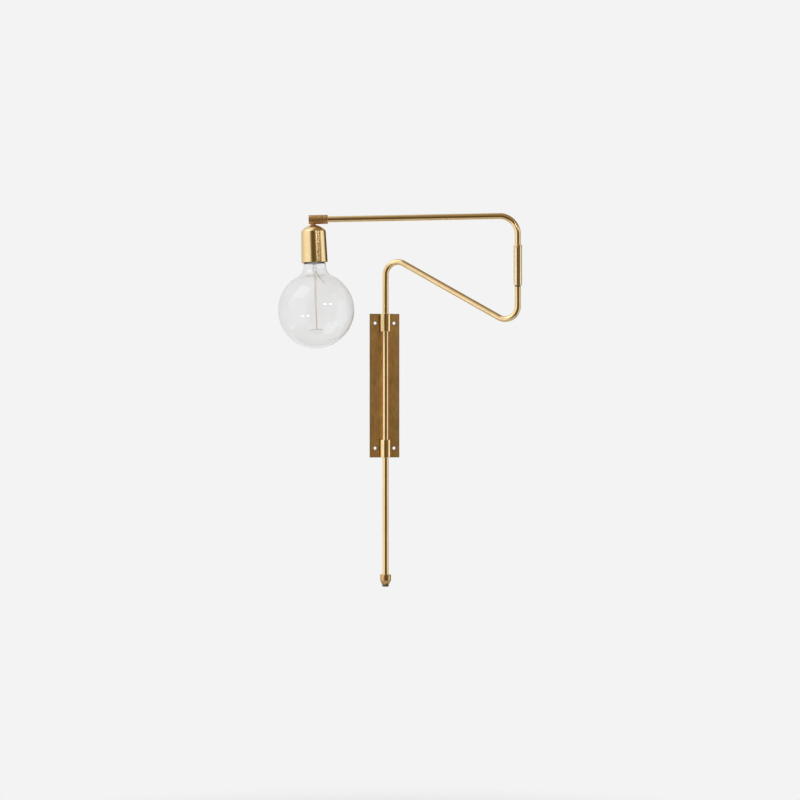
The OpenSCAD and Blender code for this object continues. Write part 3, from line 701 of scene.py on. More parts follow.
@dataclass(frozen=True)
class Metal:
    """A bare metal with tarnish, faint clouds of a second tone, pits and brushing."""

    name: str
    slot: str
    bright: tuple[float, float, float]
    dull: tuple[float, float, float]
    warm: tuple[float, float, float]
    shine: tuple[float, float] = (0.16, 0.26)
    patch_mm: float = 9.0
    patch_stretch: tuple[float, float, float] = (1.0, 1.0, 1.0)
    tarnish: float = 0.5
    warmth: float = 0.4
    brushing: Brushing = Brushing.NONE
    scratch_mm: float = 0.0012
    pit_share: float = 0.0
    pit_mm: float = 0.8
    bare: float = 1.0

    def painted_shade_and_dark_edges(self, nodes: Nodes) -> bpy.types.NodeSocket | None:
        """Gives where the metal is painted darker, along its edges or as painted shade, which is nowhere on a
        plain metal.
        """
        return None

    def material(self) -> bpy.types.Material:
        """Builds the metal's nodes.

        Returns:
            The material.
        """
        nodes = Nodes.of_material(self.name)
        bright, dull, warm = (display(*tone) for tone in (self.bright, self.dull, self.warm))
        clouds = nodes.noise(nodes.place(self.patch_stretch), self.patch_mm, 5, 0.6, 0.4)
        drift = nodes.noise(nodes.place(), self.patch_mm * DRIFT_SIZE, 2, 0.5, 0.2)
        fine = nodes.noise(nodes.place(), self.patch_mm * FINE_SIZE, 3, 0.65)
        colour = nodes.blend(nodes.ramp(clouds, 0.36, 0.68, 0.0, self.tarnish), bright, dull)
        colour = nodes.blend(nodes.ramp(drift, 0.42, 0.66, 0.0, self.warmth), colour, warm)
        colour = nodes.blend(nodes.ramp(fine, 0.5, 0.8, 0.0, self.tarnish * FINE_TARNISH), colour, dull)
        # Darker edges and painted shade, where a finish has them, are laid over the colour in one dark tone
        shade_and_edges = self.painted_shade_and_dark_edges(nodes)
        if shade_and_edges is not None:
            colour = nodes.blend(shade_and_edges, colour, display(*SHADE_AND_EDGE_TONE))
        stretch = self.brushing.value
        grain = nodes.place(stretch) if self.brushing is Brushing.NONE else nodes.surface(stretch)
        scratches = nodes.noise(grain, SCRATCH_SIZE_MM, 4, 0.7)
        uneven = nodes.maths("ADD", clouds, nodes.maths("MULTIPLY", scratches, 0.5))
        rough = nodes.ramp(uneven, 0.5, 1.05, *self.shine)
        normal = nodes.bump(scratches, self.scratch_mm)
        normal = nodes.bump(clouds, self.scratch_mm * CLOUD_DEPTH, normal)
        if self.pit_share > 0:
            sunk = nodes.ramp(nodes.specks(nodes.place(), self.pit_mm), 0.08, 0.3, 1.0, 0.0)
            spread = nodes.noise(nodes.place(), self.pit_mm * PIT_SPREAD, 1)
            chosen = nodes.ramp(spread, 1 - self.pit_share, 1.02 - self.pit_share)
            pits = nodes.maths("MULTIPLY", sunk, chosen)
            colour = nodes.blend(nodes.maths("MULTIPLY", pits, PIT_DARKNESS), colour, dull)
            normal = nodes.bump(nodes.maths("SUBTRACT", 1.0, pits), PIT_DEPTH_MM, normal)
        return nodes.finished(Base_Color=colour, Metallic=self.bare, Roughness=rough, Normal=normal)


@dataclass(frozen=True)
class PlateMetal(Metal):
    """The wall plate's metal, darker along its edges, with painted shade round its holes and a painted shadow
    where the collars sit.
    """

    half_w: float = 25.0
    half_h: float = 120.0
    thick: float = 3.0
    hole_x: float = 16.0
    hole_z: float = 104.5
    hole_r: float = 2.75
    seat_half_w: float = 9.0
    seat_foot: float = 90.0
    edge_w: float = 1.3
    edge_full: float = 0.3
    # How much darker the plate's edges are
    edge_darkness: float = 0.75
    # How wide and how strong the painted shadow round the collars' seats is
    seat_w: float = 1.6
    seat_shadow_strength: float = 0.8
    front_t: float = 1.0

    def painted_shade_and_dark_edges(self, nodes: Nodes) -> bpy.types.NodeSocket:
        """Gives how much darker the plate is painted: along its edges, as painted shade round its nearest
        hole and as a painted shadow round its nearest collar.

        The plate is the same on all four quarters, so the sizes of x and z are used. The distance to a hole
        is the root of both offsets squared. The distance to a collar is the larger of both offsets, and
        counts on the plate's front alone.

        Args:
            nodes: The material's nodes.

        Returns:
            A value socket from 0 to 1.
        """
        parts = nodes.add("ShaderNodeSeparateXYZ", nodes.place((1 / MM, 1 / MM, 1 / MM)))
        across = nodes.maths("ABSOLUTE", parts.outputs["X"])
        upward = nodes.maths("ABSOLUTE", parts.outputs["Z"])
        # Darker along the plate's sides and ends
        side = nodes.ramp(across, self.half_w - self.edge_w, self.half_w - self.edge_full)
        end = nodes.ramp(upward, self.half_h - self.edge_w, self.half_h - self.edge_full)
        off_x = nodes.maths("POWER", nodes.maths("SUBTRACT", across, self.hole_x), 2.0)
        off_z = nodes.maths("POWER", nodes.maths("SUBTRACT", upward, self.hole_z), 2.0)
        reach = nodes.maths("SQRT", nodes.maths("ADD", off_x, off_z))
        # Painted shade round the nearest hole
        hole = nodes.ramp(reach, self.hole_r, self.hole_r + self.edge_w, 1.0, 0.0)
        # Painted shadow round the collars' seats, on the plate's front alone
        beside = nodes.maths("SUBTRACT", across, self.seat_half_w)
        below = nodes.maths("SUBTRACT", self.seat_foot, upward)
        seat_shadow = nodes.ramp(nodes.maths("MAXIMUM", beside, below), 0.0, self.seat_w, self.seat_shadow_strength, 0.0)
        face = -self.thick
        front = nodes.ramp(parts.outputs["Y"], face + self.edge_full, face + self.front_t, 1.0, 0.0)
        seat_shadow = nodes.maths("MULTIPLY", seat_shadow, front)
        edges = nodes.maths("MULTIPLY", nodes.maths("MAXIMUM", side, end), self.edge_darkness)
        return nodes.maths("MAXIMUM", edges, nodes.maths("MAXIMUM", hole, seat_shadow))


@dataclass(frozen=True)
class Moulding:
    """A moulded or coated plain material, such as nylon, rubber or glazed ceramic, with a fine skin."""

    name: str
    slot: str
    colour: tuple[float, float, float]
    shade: tuple[float, float, float]
    rough: tuple[float, float] = (0.4, 0.55)
    skin_mm: float = 0.25
    skin_depth_mm: float = 0.01
    coat: float = 0.0
    passing: float = 0.0
    ior: float = 1.45

    def material(self) -> bpy.types.Material:
        """Builds the moulding's nodes.

        Returns:
            The material.
        """
        nodes = Nodes.of_material(self.name)
        skin = nodes.noise(nodes.place(), self.skin_mm, 3, 0.6)
        clouds = nodes.noise(nodes.place(), self.skin_mm * MOULDING_CLOUD_SIZE, 3, 0.55)
        colour = nodes.blend(nodes.ramp(clouds, 0.35, 0.7), display(*self.colour), display(*self.shade))
        rough = nodes.ramp(skin, 0.3, 0.7, *self.rough)
        normal = nodes.bump(skin, self.skin_depth_mm)
        return nodes.finished(
            Base_Color=colour, Roughness=rough, Normal=normal, Coat_Weight=self.coat,
            Transmission_Weight=self.passing, IOR=self.ior,
        )


@dataclass(frozen=True)
class Glass:
    """Clear blown glass with the slow waves that the blowing leaves."""

    name: str
    slot: str
    tint: tuple[float, float, float]
    thin_tint: tuple[float, float, float] = (252, 252, 252)
    wave_mm: float = 26.0
    wave_depth_mm: float = 0.05

    def material(self) -> bpy.types.Material:
        """Builds the glass.

        Returns:
            The material.
        """
        nodes = Nodes.of_material(self.name)
        waves = nodes.noise(nodes.place((1.0, 1.0, 0.45)), self.wave_mm, 2, 0.45, 0.3)
        dust = nodes.noise(nodes.place(), 0.6, 2, 0.5)
        thin = display(*self.thin_tint)
        tint = nodes.blend(nodes.ramp(waves, 0.3, 0.7, 0.0, 0.35), display(*self.tint), thin)
        rough = nodes.ramp(dust, 0.55, 0.8, 0.0, 0.02)
        normal = nodes.bump(waves, self.wave_depth_mm)
        return nodes.finished(
            Base_Color=tint, Roughness=rough, Normal=normal, IOR=1.48, Transmission_Weight=1.0
        )


BRUSHED_BRASS = Metal(
    "brushed_brass", "brushed_brass", (250, 224, 174), (224, 188, 128), (244, 206, 156),
    brushing=Brushing.AROUND, shine=(0.07, 0.13), tarnish=0.35, warmth=0.35, scratch_mm=0.0006,
)
COLLAR_BRASS = Metal(
    "collar_brass", "brushed_brass", (252, 226, 174), (224, 188, 126), (246, 204, 150),
    brushing=Brushing.AROUND, shine=(0.08, 0.14), tarnish=0.35, scratch_mm=0.0006,
)
SLEEVE_BRASS = Metal(
    "sleeve_brass", "sleeve_brass", (250, 232, 196), (206, 178, 128), (238, 210, 166),
    shine=(0.07, 0.14), patch_mm=4.0, tarnish=0.45, brushing=Brushing.AROUND, scratch_mm=0.0006,
    pit_share=0.25, pit_mm=1.1,
)
CUP_BRASS = Metal(
    "cup_brass", "cup_brass", (247, 222, 170), (228, 194, 130), (244, 208, 158),
    shine=(0.18, 0.21), patch_mm=14.0, tarnish=0.3, warmth=0.4, brushing=Brushing.AROUND, scratch_mm=0.00015,
)
PLATE_BRASS = PlateMetal(
    "aged_brass", "aged_brass", (232, 192, 124), (182, 147, 88), (220, 166, 108),
    shine=(0.32, 0.5), patch_mm=7.0, patch_stretch=(1.0, 1.0, 0.35), tarnish=0.8, warmth=0.7,
    scratch_mm=0.003, pit_share=0.3, pit_mm=1.6, bare=0.8,
)
ANTIQUE_BRASS = Metal(
    "antique_brass", "antique_brass", (226, 186, 128), (158, 116, 68), (208, 152, 96),
    shine=(0.26, 0.4), patch_mm=4.0, tarnish=0.7, warmth=0.6, scratch_mm=0.0015, pit_share=0.3, pit_mm=0.9,
    bare=0.78,
)
GLAND_BRASS = Metal(
    "gland_brass", "gland_brass", (224, 190, 134), (160, 126, 76), (206, 164, 108),
    shine=(0.2, 0.34), patch_mm=5.0, tarnish=0.6, brushing=Brushing.AROUND,
)
STEEL = Metal(
    "steel", "steel", (196, 198, 201), (150, 151, 154), (186, 182, 176),
    shine=(0.25, 0.4), patch_mm=2.0, tarnish=0.4, warmth=0.2,
)
DARK_WIRE = Metal(
    "dark_wire", "steel", (128, 124, 116), (92, 88, 82), (120, 110, 98),
    shine=(0.3, 0.45), patch_mm=2.0, tarnish=0.5, warmth=0.3,
)
CAP_METAL = Metal(
    "cap_metal", "cap_metal", (224, 222, 216), (188, 186, 180), (216, 210, 198),
    shine=(0.2, 0.32), patch_mm=6.0, tarnish=0.4, warmth=0.2,
)
BLACK_NYLON = Moulding("black_nylon", "black_nylon", (34, 34, 30), (20, 20, 18), (0.66, 0.82))
BROWN_NYLON = Moulding("brown_nylon", "black_nylon", (138, 104, 66), (116, 86, 54), (0.42, 0.6))
WHITE_NYLON = Moulding("white_nylon", "white_nylon", (226, 224, 216), (214, 211, 200), (0.4, 0.55))
GREY_RUBBER = Moulding("grey_rubber", "grey_rubber", (112, 108, 96), (88, 84, 74), (0.6, 0.8), 0.3, 0.02)
CERAMIC = Moulding("ceramic", "ceramic", (230, 228, 220), (218, 214, 202), (0.1, 0.2), 0.6, 0.006, 0.6)
FILAMENT = Moulding(
    "filament", "filament", (254, 244, 216), (250, 234, 194), (0.4, 0.6), 0.25, 0.03, passing=0.95, ior=1.08
)
CLEAR_GLASS = Glass("clear_glass", "clear_glass", (248, 248, 248))

Finish = Metal | Moulding | Glass


class Workshop:
    """Hands each piece its material and its body, and hides the nodes that it is shown in place of."""

    def __init__(self) -> None:
        """Starts with no material built."""
        self.materials: dict[str, bpy.types.Material] = {}

    def material(self, finish: Finish) -> bpy.types.Material:
        """Builds a finish once and gives it again when it is asked for.

        Args:
            finish: The finish.

        Returns:
            Its material.
        """
        if finish.name not in self.materials:
            self.materials[finish.name] = finish.material()
        return self.materials[finish.name]

    def fit(self, piece: bpy.types.Object, finish: Finish, body: str, *stands_for: str) -> None:
        """Dresses a new piece and lets it ride on its body.

        Args:
            piece: The new piece.
            finish: Its finish.
            body: The body that it moves with.
            *stands_for: The nodes that it is shown in place of.
        """
        piece.data.materials.append(self.material(finish))
        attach(piece, body)
        if stands_for:
            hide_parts(*stands_for)
        log.info("%s: %d faces on %s, in %s", piece.name, len(piece.data.polygons), body, finish.name)

    def dress(self, finish: Finish, *nodes: str) -> None:
        """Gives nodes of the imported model, which keep their own meshes, a finish.

        Args:
            finish: The finish.
            *nodes: The nodes' names.
        """
        for node in nodes:
            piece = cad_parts[node]
            piece.data.materials.clear()
            piece.data.materials.append(self.material(finish))
            log.info("%s: packed mesh, in %s", node, finish.name)


@dataclass
class WallBracket:
    """The wall plate and the two collars that the stem stands in."""

    stance: Stance
    plate_t: float = 3.0
    collar_d: float = 18.0
    collar_l: float = 30.0
    collar_z: float = 90.0
    bevel: float = 0.6
    lip: float = 3.0
    pocket_r: float = 6.48
    lip_r: float = 5.3
    screw_r: float = 2.02
    screw_sink: float = 0.9
    screw_turn: float = 0.0
    pocket_edge: float = 0.15
    row_step: float = 0.4

    def collar(self, name: str, upside_down: bool) -> bpy.types.Object:
        """Makes one collar, flat where it sits on the plate and sunk round its drag screw.

        Args:
            name: The collar's name.
            upside_down: Whether the lip is at the upper end.

        Returns:
            The collar.
        """
        r = self.collar_d / 2
        outline = loop(
            [
                (self.lip_r, 0), (r, 0), (r, self.collar_l), (self.pocket_r, self.collar_l),
                (self.pocket_r, self.lip), (self.lip_r, self.lip),
            ],
            {1: self.bevel, 2: self.bevel, 3: self.pocket_edge},
        )
        bench = self.stance.wall().moved(z=self.collar_z)
        if upside_down:
            bench = self.stance.wall().moved(z=-self.collar_z).turned("x", 180)
        hole = pit(self.collar_l / 2, self.screw_turn, self.screw_r, self.screw_sink, r)
        outline = filled_in(outline, self.row_step)
        piece = turned_piece(name, outline, bench, columns=MANY_COLUMNS, relief=hole)
        points = np.empty(len(piece.data.vertices) * 3)
        piece.data.vertices.foreach_get("co", points)
        points[1::3] = np.minimum(points[1::3], -self.plate_t * MM)
        piece.data.vertices.foreach_set("co", points)
        piece.data.update()
        return piece

    def build(self, shop: Workshop) -> None:
        """Makes and dresses the bracket.

        Args:
            shop: Where the pieces get their finish.
        """
        shop.dress(PLATE_BRASS, "wall_plate")
        shop.dress(STEEL, "collar_screws", "drag_screws")
        shop.dress(WHITE_NYLON, "upper_bush", "lower_bush")
        shop.fit(self.collar("collar_top", False), COLLAR_BRASS, "bracket", "upper_collar")
        shop.fit(self.collar("collar_foot", True), COLLAR_BRASS, "bracket", "lower_collar")


@dataclass(frozen=True)
class Run:
    """One straight length of tube and the bend that follows it."""

    length: float
    turn: float = 0.0
    radius: float = 0.0


BEND_STEPS = 32
STRAIGHT_STEP = 12.0
# The normal of the plane that the tubes bend in
ACROSS = np.array([0.0, 1.0, 0.0])


def bent_path(start_z: float, runs: list[Run]) -> np.ndarray:
    """Draws the middle line of a tube that sets off along +Z and bends in the XZ plane.

    A straight length adds its direction times its length. A bend of radius r adds
    r times (1 - cos a) to the side and r times sin a ahead.

    Args:
        start_z: The height where it starts.
        runs: The straight lengths and their bends, a positive turn towards +X.

    Returns:
        The middle line, one point a row.
    """
    here = np.array([0.0, 0.0, start_z])
    heading = 0.0
    points = [here[None, :]]
    for run in runs:
        ahead = np.array([math.sin(heading), 0.0, math.cos(heading)])
        share = np.linspace(0, 1, max(2, int(run.length / STRAIGHT_STEP)))[1:, None]
        straight = here + ahead * run.length * share
        points.append(straight)
        here = straight[-1]
        if run.turn:
            side = np.array([math.cos(heading), 0.0, -math.sin(heading)]) * math.copysign(1, run.turn)
            angle = np.linspace(0, math.radians(abs(run.turn)), BEND_STEPS + 1)[1:, None]
            bend = here + run.radius * ((1 - np.cos(angle)) * side + np.sin(angle) * ahead)
            points.append(bend)
            here = bend[-1]
            heading += math.radians(run.turn)
    return np.concatenate(points)


@dataclass
class LowerArm:
    """The bent lower tube with its cord gland, its grip and the washer under the sleeve."""

    stance: Stance
    tube_r: float = 5.0
    tube_wall: float = 1.0
    start_z: float = -323.0
    top_corner_z: float = 220.6
    low_corner_z: float = 93.7
    bend_r: float = 21.5
    riser_top_z: float = 161.4
    washer_t: float = 2.0
    washer_inset: float = 0.15
    washer_bevel: float = 0.3
    gland_r: float = 9.15
    gland_z: float = -331.6
    gland_straight: float = 10.0
    gland_taper: float = 6.6
    mouth_r: float = 5.65
    jaw_w: float = 1.0
    jaw_bore_r: float = 4.37
    tube_seat_z: float = 8.6
    notch_w: float = 2.6
    notch_h: float = 4.2
    mouth_band: float = 0.3
    notch_points: int = 13
    gland_edges: tuple[float, ...] = (0.25, 1.1, 0.7, 0.2)
    gland_row_step: float = 0.3
    grip_z: float = -335.1
    grip_flange_r: float = 5.45
    grip_r: float = 4.35
    grip_flange_h: float = 3.45
    grip_l: float = 11.8
    flange_bevel: float = 0.8
    grip_bevel: float = 0.3
    cord_r: float = 3.1

    def path(self) -> np.ndarray:
        """Draws the tube's middle line from the fall and the reach of its diagonal.

        Returns:
            The middle line.
        """
        fall = self.top_corner_z - self.low_corner_z
        turn = 90 + math.degrees(math.atan2(fall, self.stance.lower_reach))
        tangent = self.bend_r * math.tan(math.radians(turn / 2))
        return bent_path(
            self.start_z,
            [
                Run(self.top_corner_z - tangent - self.start_z, turn, self.bend_r),
                Run(math.hypot(self.stance.lower_reach, fall) - 2 * tangent, -turn, self.bend_r),
                Run(self.riser_top_z - self.low_corner_z - tangent),
            ],
        )

    def tube(self) -> bpy.types.Object:
        """Makes the tube along its path.

        Returns:
            The tube.
        """
        bench = self.stance.lower_arm()
        inner = self.tube_r - self.tube_wall
        return swept_piece("stem_and_diagonal", self.path(), ACROSS, self.tube_r, inner, bench, TUBE_COLUMNS)

    def gland(self) -> bpy.types.Object:
        """Makes the gland, whose jaws are cut by four V notches.

        In each notch the mouth's edge climbs by the notch's height times one less the share of its half
        width, and the taper's radius follows the height.

        Returns:
            The gland.
        """
        top = self.gland_taper + self.gland_straight
        bore = self.tube_r + SNUG
        outline = loop(
            [
                (self.jaw_bore_r, 0), (self.mouth_r, 0), (self.gland_r, self.gland_taper),
                (self.gland_r, top), (bore, top), (bore, self.tube_seat_z),
                (self.jaw_bore_r, self.tube_seat_z),
            ],
            dict(enumerate(self.gland_edges, 1)),
        )
        outline = filled_in(outline, self.gland_row_step)
        half = self.notch_w / 2
        quarters = np.radians([45.0, 135.0, 225.0, 315.0])
        edge = math.asin(half / self.mouth_r)
        extra = (quarters[:, None] + np.linspace(-edge, edge, self.notch_points)).reshape(-1)
        angles = np.unique(np.round(np.concatenate([even_angles(COLUMNS), extra]), 6))
        off = np.abs(angles[:, None] - quarters).min(axis=1)
        grid = turned_grid(outline, angles, None)
        height = grid[..., 2]
        radius = np.repeat(outline[:, :1], len(angles), axis=1)
        edge_r = np.minimum(radius, self.mouth_r + self.jaw_w)
        lift = self.notch_h * np.clip(1 - edge_r * np.sin(off) / half, 0, 1)
        raised = np.maximum(height, lift)
        slope = (self.gland_r - self.mouth_r) / self.gland_taper
        on_taper = (radius > self.mouth_r - self.mouth_band) & (height < lift)
        radius = np.where(on_taper, self.mouth_r + slope * raised, radius)
        grid = np.stack([radius * np.cos(angles), radius * np.sin(angles), raised], axis=-1)
        bench = self.stance.lower_arm().moved(z=self.gland_z)
        return mesh_from_grid("cord_gland", bench.place(grid), down_lengths(outline, True), True)

    def grip(self) -> bpy.types.Object:
        """Makes the rubber grip that stands out of the jaws.

        Returns:
            The grip.
        """
        outline = loop(
            [
                (self.cord_r, 0), (self.grip_flange_r, 0), (self.grip_flange_r, self.grip_flange_h),
                (self.grip_r, self.grip_flange_h), (self.grip_r, self.grip_l), (self.cord_r, self.grip_l),
            ],
            {1: self.flange_bevel, 2: self.grip_bevel, 4: self.grip_bevel},
        )
        bench = self.stance.lower_arm().moved(z=self.grip_z)
        return turned_piece("cord_grip", outline, bench, columns=FEW_COLUMNS)

    def washer(self) -> bpy.types.Object:
        """Makes the dark washer that the sleeve turns on.

        Returns:
            The washer.
        """
        inner = self.tube_r - self.tube_wall
        outer = self.tube_r - self.washer_inset
        outline = hoop(inner, outer, 0, self.washer_t, self.washer_bevel, self.washer_bevel)
        bench = self.stance.lower_arm().moved(x=self.stance.lower_reach, z=self.riser_top_z)
        return turned_piece("sleeve_washer", outline, bench, columns=FEW_COLUMNS)

    def build(self, shop: Workshop) -> None:
        """Makes and dresses the lower arm.

        Args:
            shop: Where the pieces get their finish.
        """
        shop.fit(self.tube(), BRUSHED_BRASS, "lower_arm", "lower_arm_tube")
        shop.fit(self.gland(), GLAND_BRASS, "lower_arm", "gland_body")
        shop.fit(self.grip(), GREY_RUBBER, "lower_arm", "gland_grip")
        shop.fit(self.washer(), BLACK_NYLON, "lower_arm", "hinge_washer")
        shop.dress(BRUSHED_BRASS, "hinge_spindle")
        shop.dress(STEEL, "gland_screw")


@dataclass
class UpperArm:
    """The hinge sleeve, the long tube, and the ring and washer of the swivel."""

    stance: Stance
    tube_r: float = 5.0
    tube_wall: float = 1.0
    sleeve_r: float = 7.0
    sleeve_l: float = 66.0
    sleeve_z: float = 163.7
    sleeve_bevel: float = 0.8
    screw_r: float = 1.52
    screw_sink: float = 0.7
    stop_screw_turn: float = -80.0
    stop_screw_rise: float = 16.0
    fixing_screw_turn: float = 70.0
    fixing_screw_drop: float = 4.0
    tube_z: float = 203.7
    bend_r: float = 30.0
    ring_x: float = 311.0
    ring_r: float = 7.5
    ring_l: float = 7.5
    ring_bevel: float = 0.5
    washer_r: float = 7.2
    washer_t: float = 0.8
    washer_bevel: float = 0.2
    sleeve_gap: float = 0.04
    sleeve_row_step: float = 0.35

    def sleeve(self) -> bpy.types.Object:
        """Makes the sleeve, sunk round its two screws.

        Returns:
            The sleeve.
        """
        bore = self.tube_r + self.sleeve_gap
        outline = hoop(bore, self.sleeve_r, 0, self.sleeve_l, self.sleeve_bevel, self.sleeve_bevel)
        screws = (
            (self.stop_screw_rise, self.stop_screw_turn),
            (self.sleeve_l - self.fixing_screw_drop, self.fixing_screw_turn),
        )
        holes = together(*(pit(*at, self.screw_r, self.screw_sink, self.sleeve_r) for at in screws))
        outline = filled_in(outline, self.sleeve_row_step)
        bench = self.stance.elbow().moved(z=self.sleeve_z)
        return turned_piece("elbow_sleeve", outline, bench, columns=MANY_COLUMNS, relief=holes)

    def tube(self) -> bpy.types.Object:
        """Makes the long tube with its one bend.

        Returns:
            The tube.
        """
        turn = 90 + self.stance.arm_droop
        tangent = self.bend_r * math.tan(math.radians(turn / 2))
        path = bent_path(
            self.tube_z,
            [
                Run(self.stance.upper_arm_z - tangent - self.tube_z, turn, self.bend_r),
                Run(self.ring_x + self.ring_l - tangent),
            ],
        )
        inner = self.tube_r - self.tube_wall
        return swept_piece("long_arm", path, ACROSS, self.tube_r, inner, self.stance.elbow(), TUBE_COLUMNS)

    def ring(self) -> bpy.types.Object:
        """Makes the swivel's ring."""
        outline = hoop(self.tube_r + SNUG, self.ring_r, 0, self.ring_l, self.ring_bevel, self.ring_bevel)
        return turned_piece("swivel_collar", outline, self.stance.along_arm().moved(z=self.ring_x))

    def washer(self) -> bpy.types.Object:
        """Makes the thin washer in the swivel's groove.

        Returns:
            The washer.
        """
        inner = self.tube_r - self.tube_wall
        outline = hoop(inner, self.washer_r, 0, self.washer_t, self.washer_bevel, self.washer_bevel)
        bench = self.stance.along_arm().moved(z=self.ring_x + self.ring_l)
        return turned_piece("swivel_packing", outline, bench, columns=FEW_COLUMNS)

    def build(self, shop: Workshop) -> None:
        """Makes and dresses the upper arm.

        Args:
            shop: Where the pieces get their finish.
        """
        shop.fit(self.sleeve(), SLEEVE_BRASS, "upper_arm", "hinge_sleeve")
        shop.fit(self.tube(), BRUSHED_BRASS, "upper_arm", "upper_arm_tube")
        shop.fit(self.ring(), ANTIQUE_BRASS, "upper_arm", "swivel_ring")
        shop.fit(self.washer(), BROWN_NYLON, "upper_arm", "swivel_washer")
        shop.dress(BRUSHED_BRASS, "swivel_spindle")
        shop.dress(ANTIQUE_BRASS, "arm_fixing_screw")
        shop.dress(STEEL, "elbow_stop_screw")


@dataclass
class LampHead:
    """The swivel barrel, the neck, the domed cup and the lampholder in it."""

    stance: Stance
    barrel_x: float = 319.6
    barrel_r: float = 7.5
    barrel_l: float = 22.5
    barrel_bevel: float = 0.6
    chamber_l: float = 20.1
    bore_r: float = 5.04
    nose: float = 7.1
    screw_x: float = 5.0
    screw_turn: float = -90.0
    screw_r: float = 1.52
    screw_sink: float = 0.7
    pit_skin: float = 0.02
    mouth_edge: float = 0.15
    barrel_row_step: float = 0.3
    neck_r: float = 3.35
    neck_bore_r: float = 2.0
    neck_top_z: float = -4.4
    neck_foot_z: float = -26.2
    neck_edges: tuple[float, float] = (0.3, 0.2)
    crown_drop: float = 8.7
    dome_r: float = 25.8
    shoulder_r: float = 20.4
    rim_r: float = 21.8
    blend_r: float = 4.5
    cup_h: float = 61.5
    wall: float = 1.1
    outside_steps: int = 40
    inside_steps: int = 32
    rim_steps: int = 10
    cup_row_step: float = 1.2
    cap_r: float = 5.3
    cap_top_r: float = 3.8
    cap_h: float = 0.9
    cap_edge: float = 0.25
    cap_bevel: float = 0.2
    cap_flare: float = 0.7
    cap_points: int = 10
    seat_points: int = 8
    holder_r: float = 16.5
    holder_wall: float = 2.2
    holder_h: float = 47.5
    holder_stub: float = 0.5
    holder_lid: float = 3.0
    holder_mouth_edge: float = 0.7
    holder_top_edge: float = 1.3
    holder_inner_edge: float = 0.5
    holder_row_step: float = 1.5
    shell_r: float = 13.7
    shell_bore_r: float = 13.3
    shell_z: float = -66.7
    shell_top_z: float = -35.7
    shell_row_step: float = 0.35
    thread_depth: float = 0.35
    thread_pitch: float = 3.62

    def barrel(self) -> bpy.types.Object:
        """Makes the barrel, sunk where the neck enters it and round its stop screw.

        Returns:
            The barrel.
        """
        outline = rounded(
            [
                (0, self.chamber_l), (self.bore_r, self.chamber_l), (self.bore_r, 0), (self.barrel_r, 0),
                (self.barrel_r, self.barrel_l), (0, self.barrel_l),
            ],
            {2: self.mouth_edge, 3: self.barrel_bevel, 4: self.barrel_bevel},
        )
        wall = self.barrel_r - self.bore_r
        holes = together(
            pit(self.barrel_l - self.nose, 0.0, self.neck_r + SNUG, wall - self.pit_skin, self.barrel_r),
            pit(self.screw_x, self.screw_turn, self.screw_r, self.screw_sink, self.barrel_r),
        )
        outline = filled_in(outline, self.barrel_row_step)
        bench = self.stance.along_arm().moved(z=self.barrel_x)
        return turned_piece("swivel_body", outline, bench, False, MANY_COLUMNS, holes)

    def neck(self) -> bpy.types.Object:
        """Makes the hollow neck that the cup hangs from."""
        outline = hoop(self.neck_bore_r, self.neck_r, self.neck_foot_z, self.neck_top_z, *self.neck_edges)
        return turned_piece("neck_tube", outline, self.stance.head(), columns=FEW_COLUMNS)

    def neck_cap(self) -> bpy.types.Object:
        """Makes the small flared cap, whose underside follows the dome: z is the square root of R^2 - r^2.

        Returns:
            The cap.
        """
        dome_z = -self.crown_drop - self.dome_r
        throat = self.neck_r + SNUG
        radii = np.linspace(self.cap_r, throat, self.seat_points)
        under = np.column_stack([radii, dome_z + np.sqrt((self.dome_r + SNUG) ** 2 - radii**2)])
        top = -self.crown_drop + self.cap_h
        flare = np.linspace(0, 1, self.cap_points)
        foot = under[0, 1] + self.cap_edge
        radius = self.cap_r + (self.cap_top_r - self.cap_r) * flare**self.cap_flare
        over = np.column_stack([radius, foot + (top - self.cap_bevel - foot) * flare])
        crown = np.array([[self.cap_top_r - self.cap_edge, top], [throat, top]])
        outline = np.concatenate([under[::-1], over, crown])
        return turned_piece("crown_cap", outline, self.stance.head(), columns=FEW_COLUMNS)

    def cup_side(self, inset: float, steps: int) -> np.ndarray:
        """Draws the cup's outline from the crown's hole to the rim.

        The dome is an arc about the cup's axis, the shoulder an arc that touches it from inside, and the wall
        a straight line that opens towards the rim.

        Args:
            inset: How far the line lies inside the cup's outer face.
            steps: Points along each arc.

        Returns:
            Radius and height, from the crown down.
        """
        dome_z = -self.crown_drop - self.dome_r
        rim_z = -self.crown_drop - self.cup_h
        sphere_r = self.dome_r - inset
        blend_r = self.blend_r - inset
        blend_x = self.shoulder_r - self.blend_r
        blend_z = dome_z + math.sqrt((sphere_r - blend_r) ** 2 - blend_x**2)
        meet = math.degrees(math.atan2(blend_z - dome_z, blend_x))
        hole = math.degrees(math.acos((self.neck_r + SNUG) / sphere_r))
        dome = arc((0, dome_z), sphere_r, hole, meet, steps)
        blend = arc((blend_x, blend_z), blend_r, meet, 0, steps)
        wall = np.array([[self.rim_r - inset, rim_z]])
        return np.concatenate([dome, blend[1:], wall])

    def cup(self) -> bpy.types.Object:
        """Makes the spun cup, with a rounded rim.

        Returns:
            The cup.
        """
        outside = self.cup_side(0.0, self.outside_steps)
        inside = self.cup_side(self.wall, self.inside_steps)[::-1]
        rim_z = outside[-1, 1]
        half = self.wall / 2
        rim = arc((self.rim_r - half, rim_z + half), half, 0, -180, self.rim_steps)
        outline = filled_in(np.concatenate([outside[:-1], rim, inside[1:]]), self.cup_row_step)
        return turned_piece("spun_cup", outline, self.stance.head(), columns=MOST_COLUMNS)

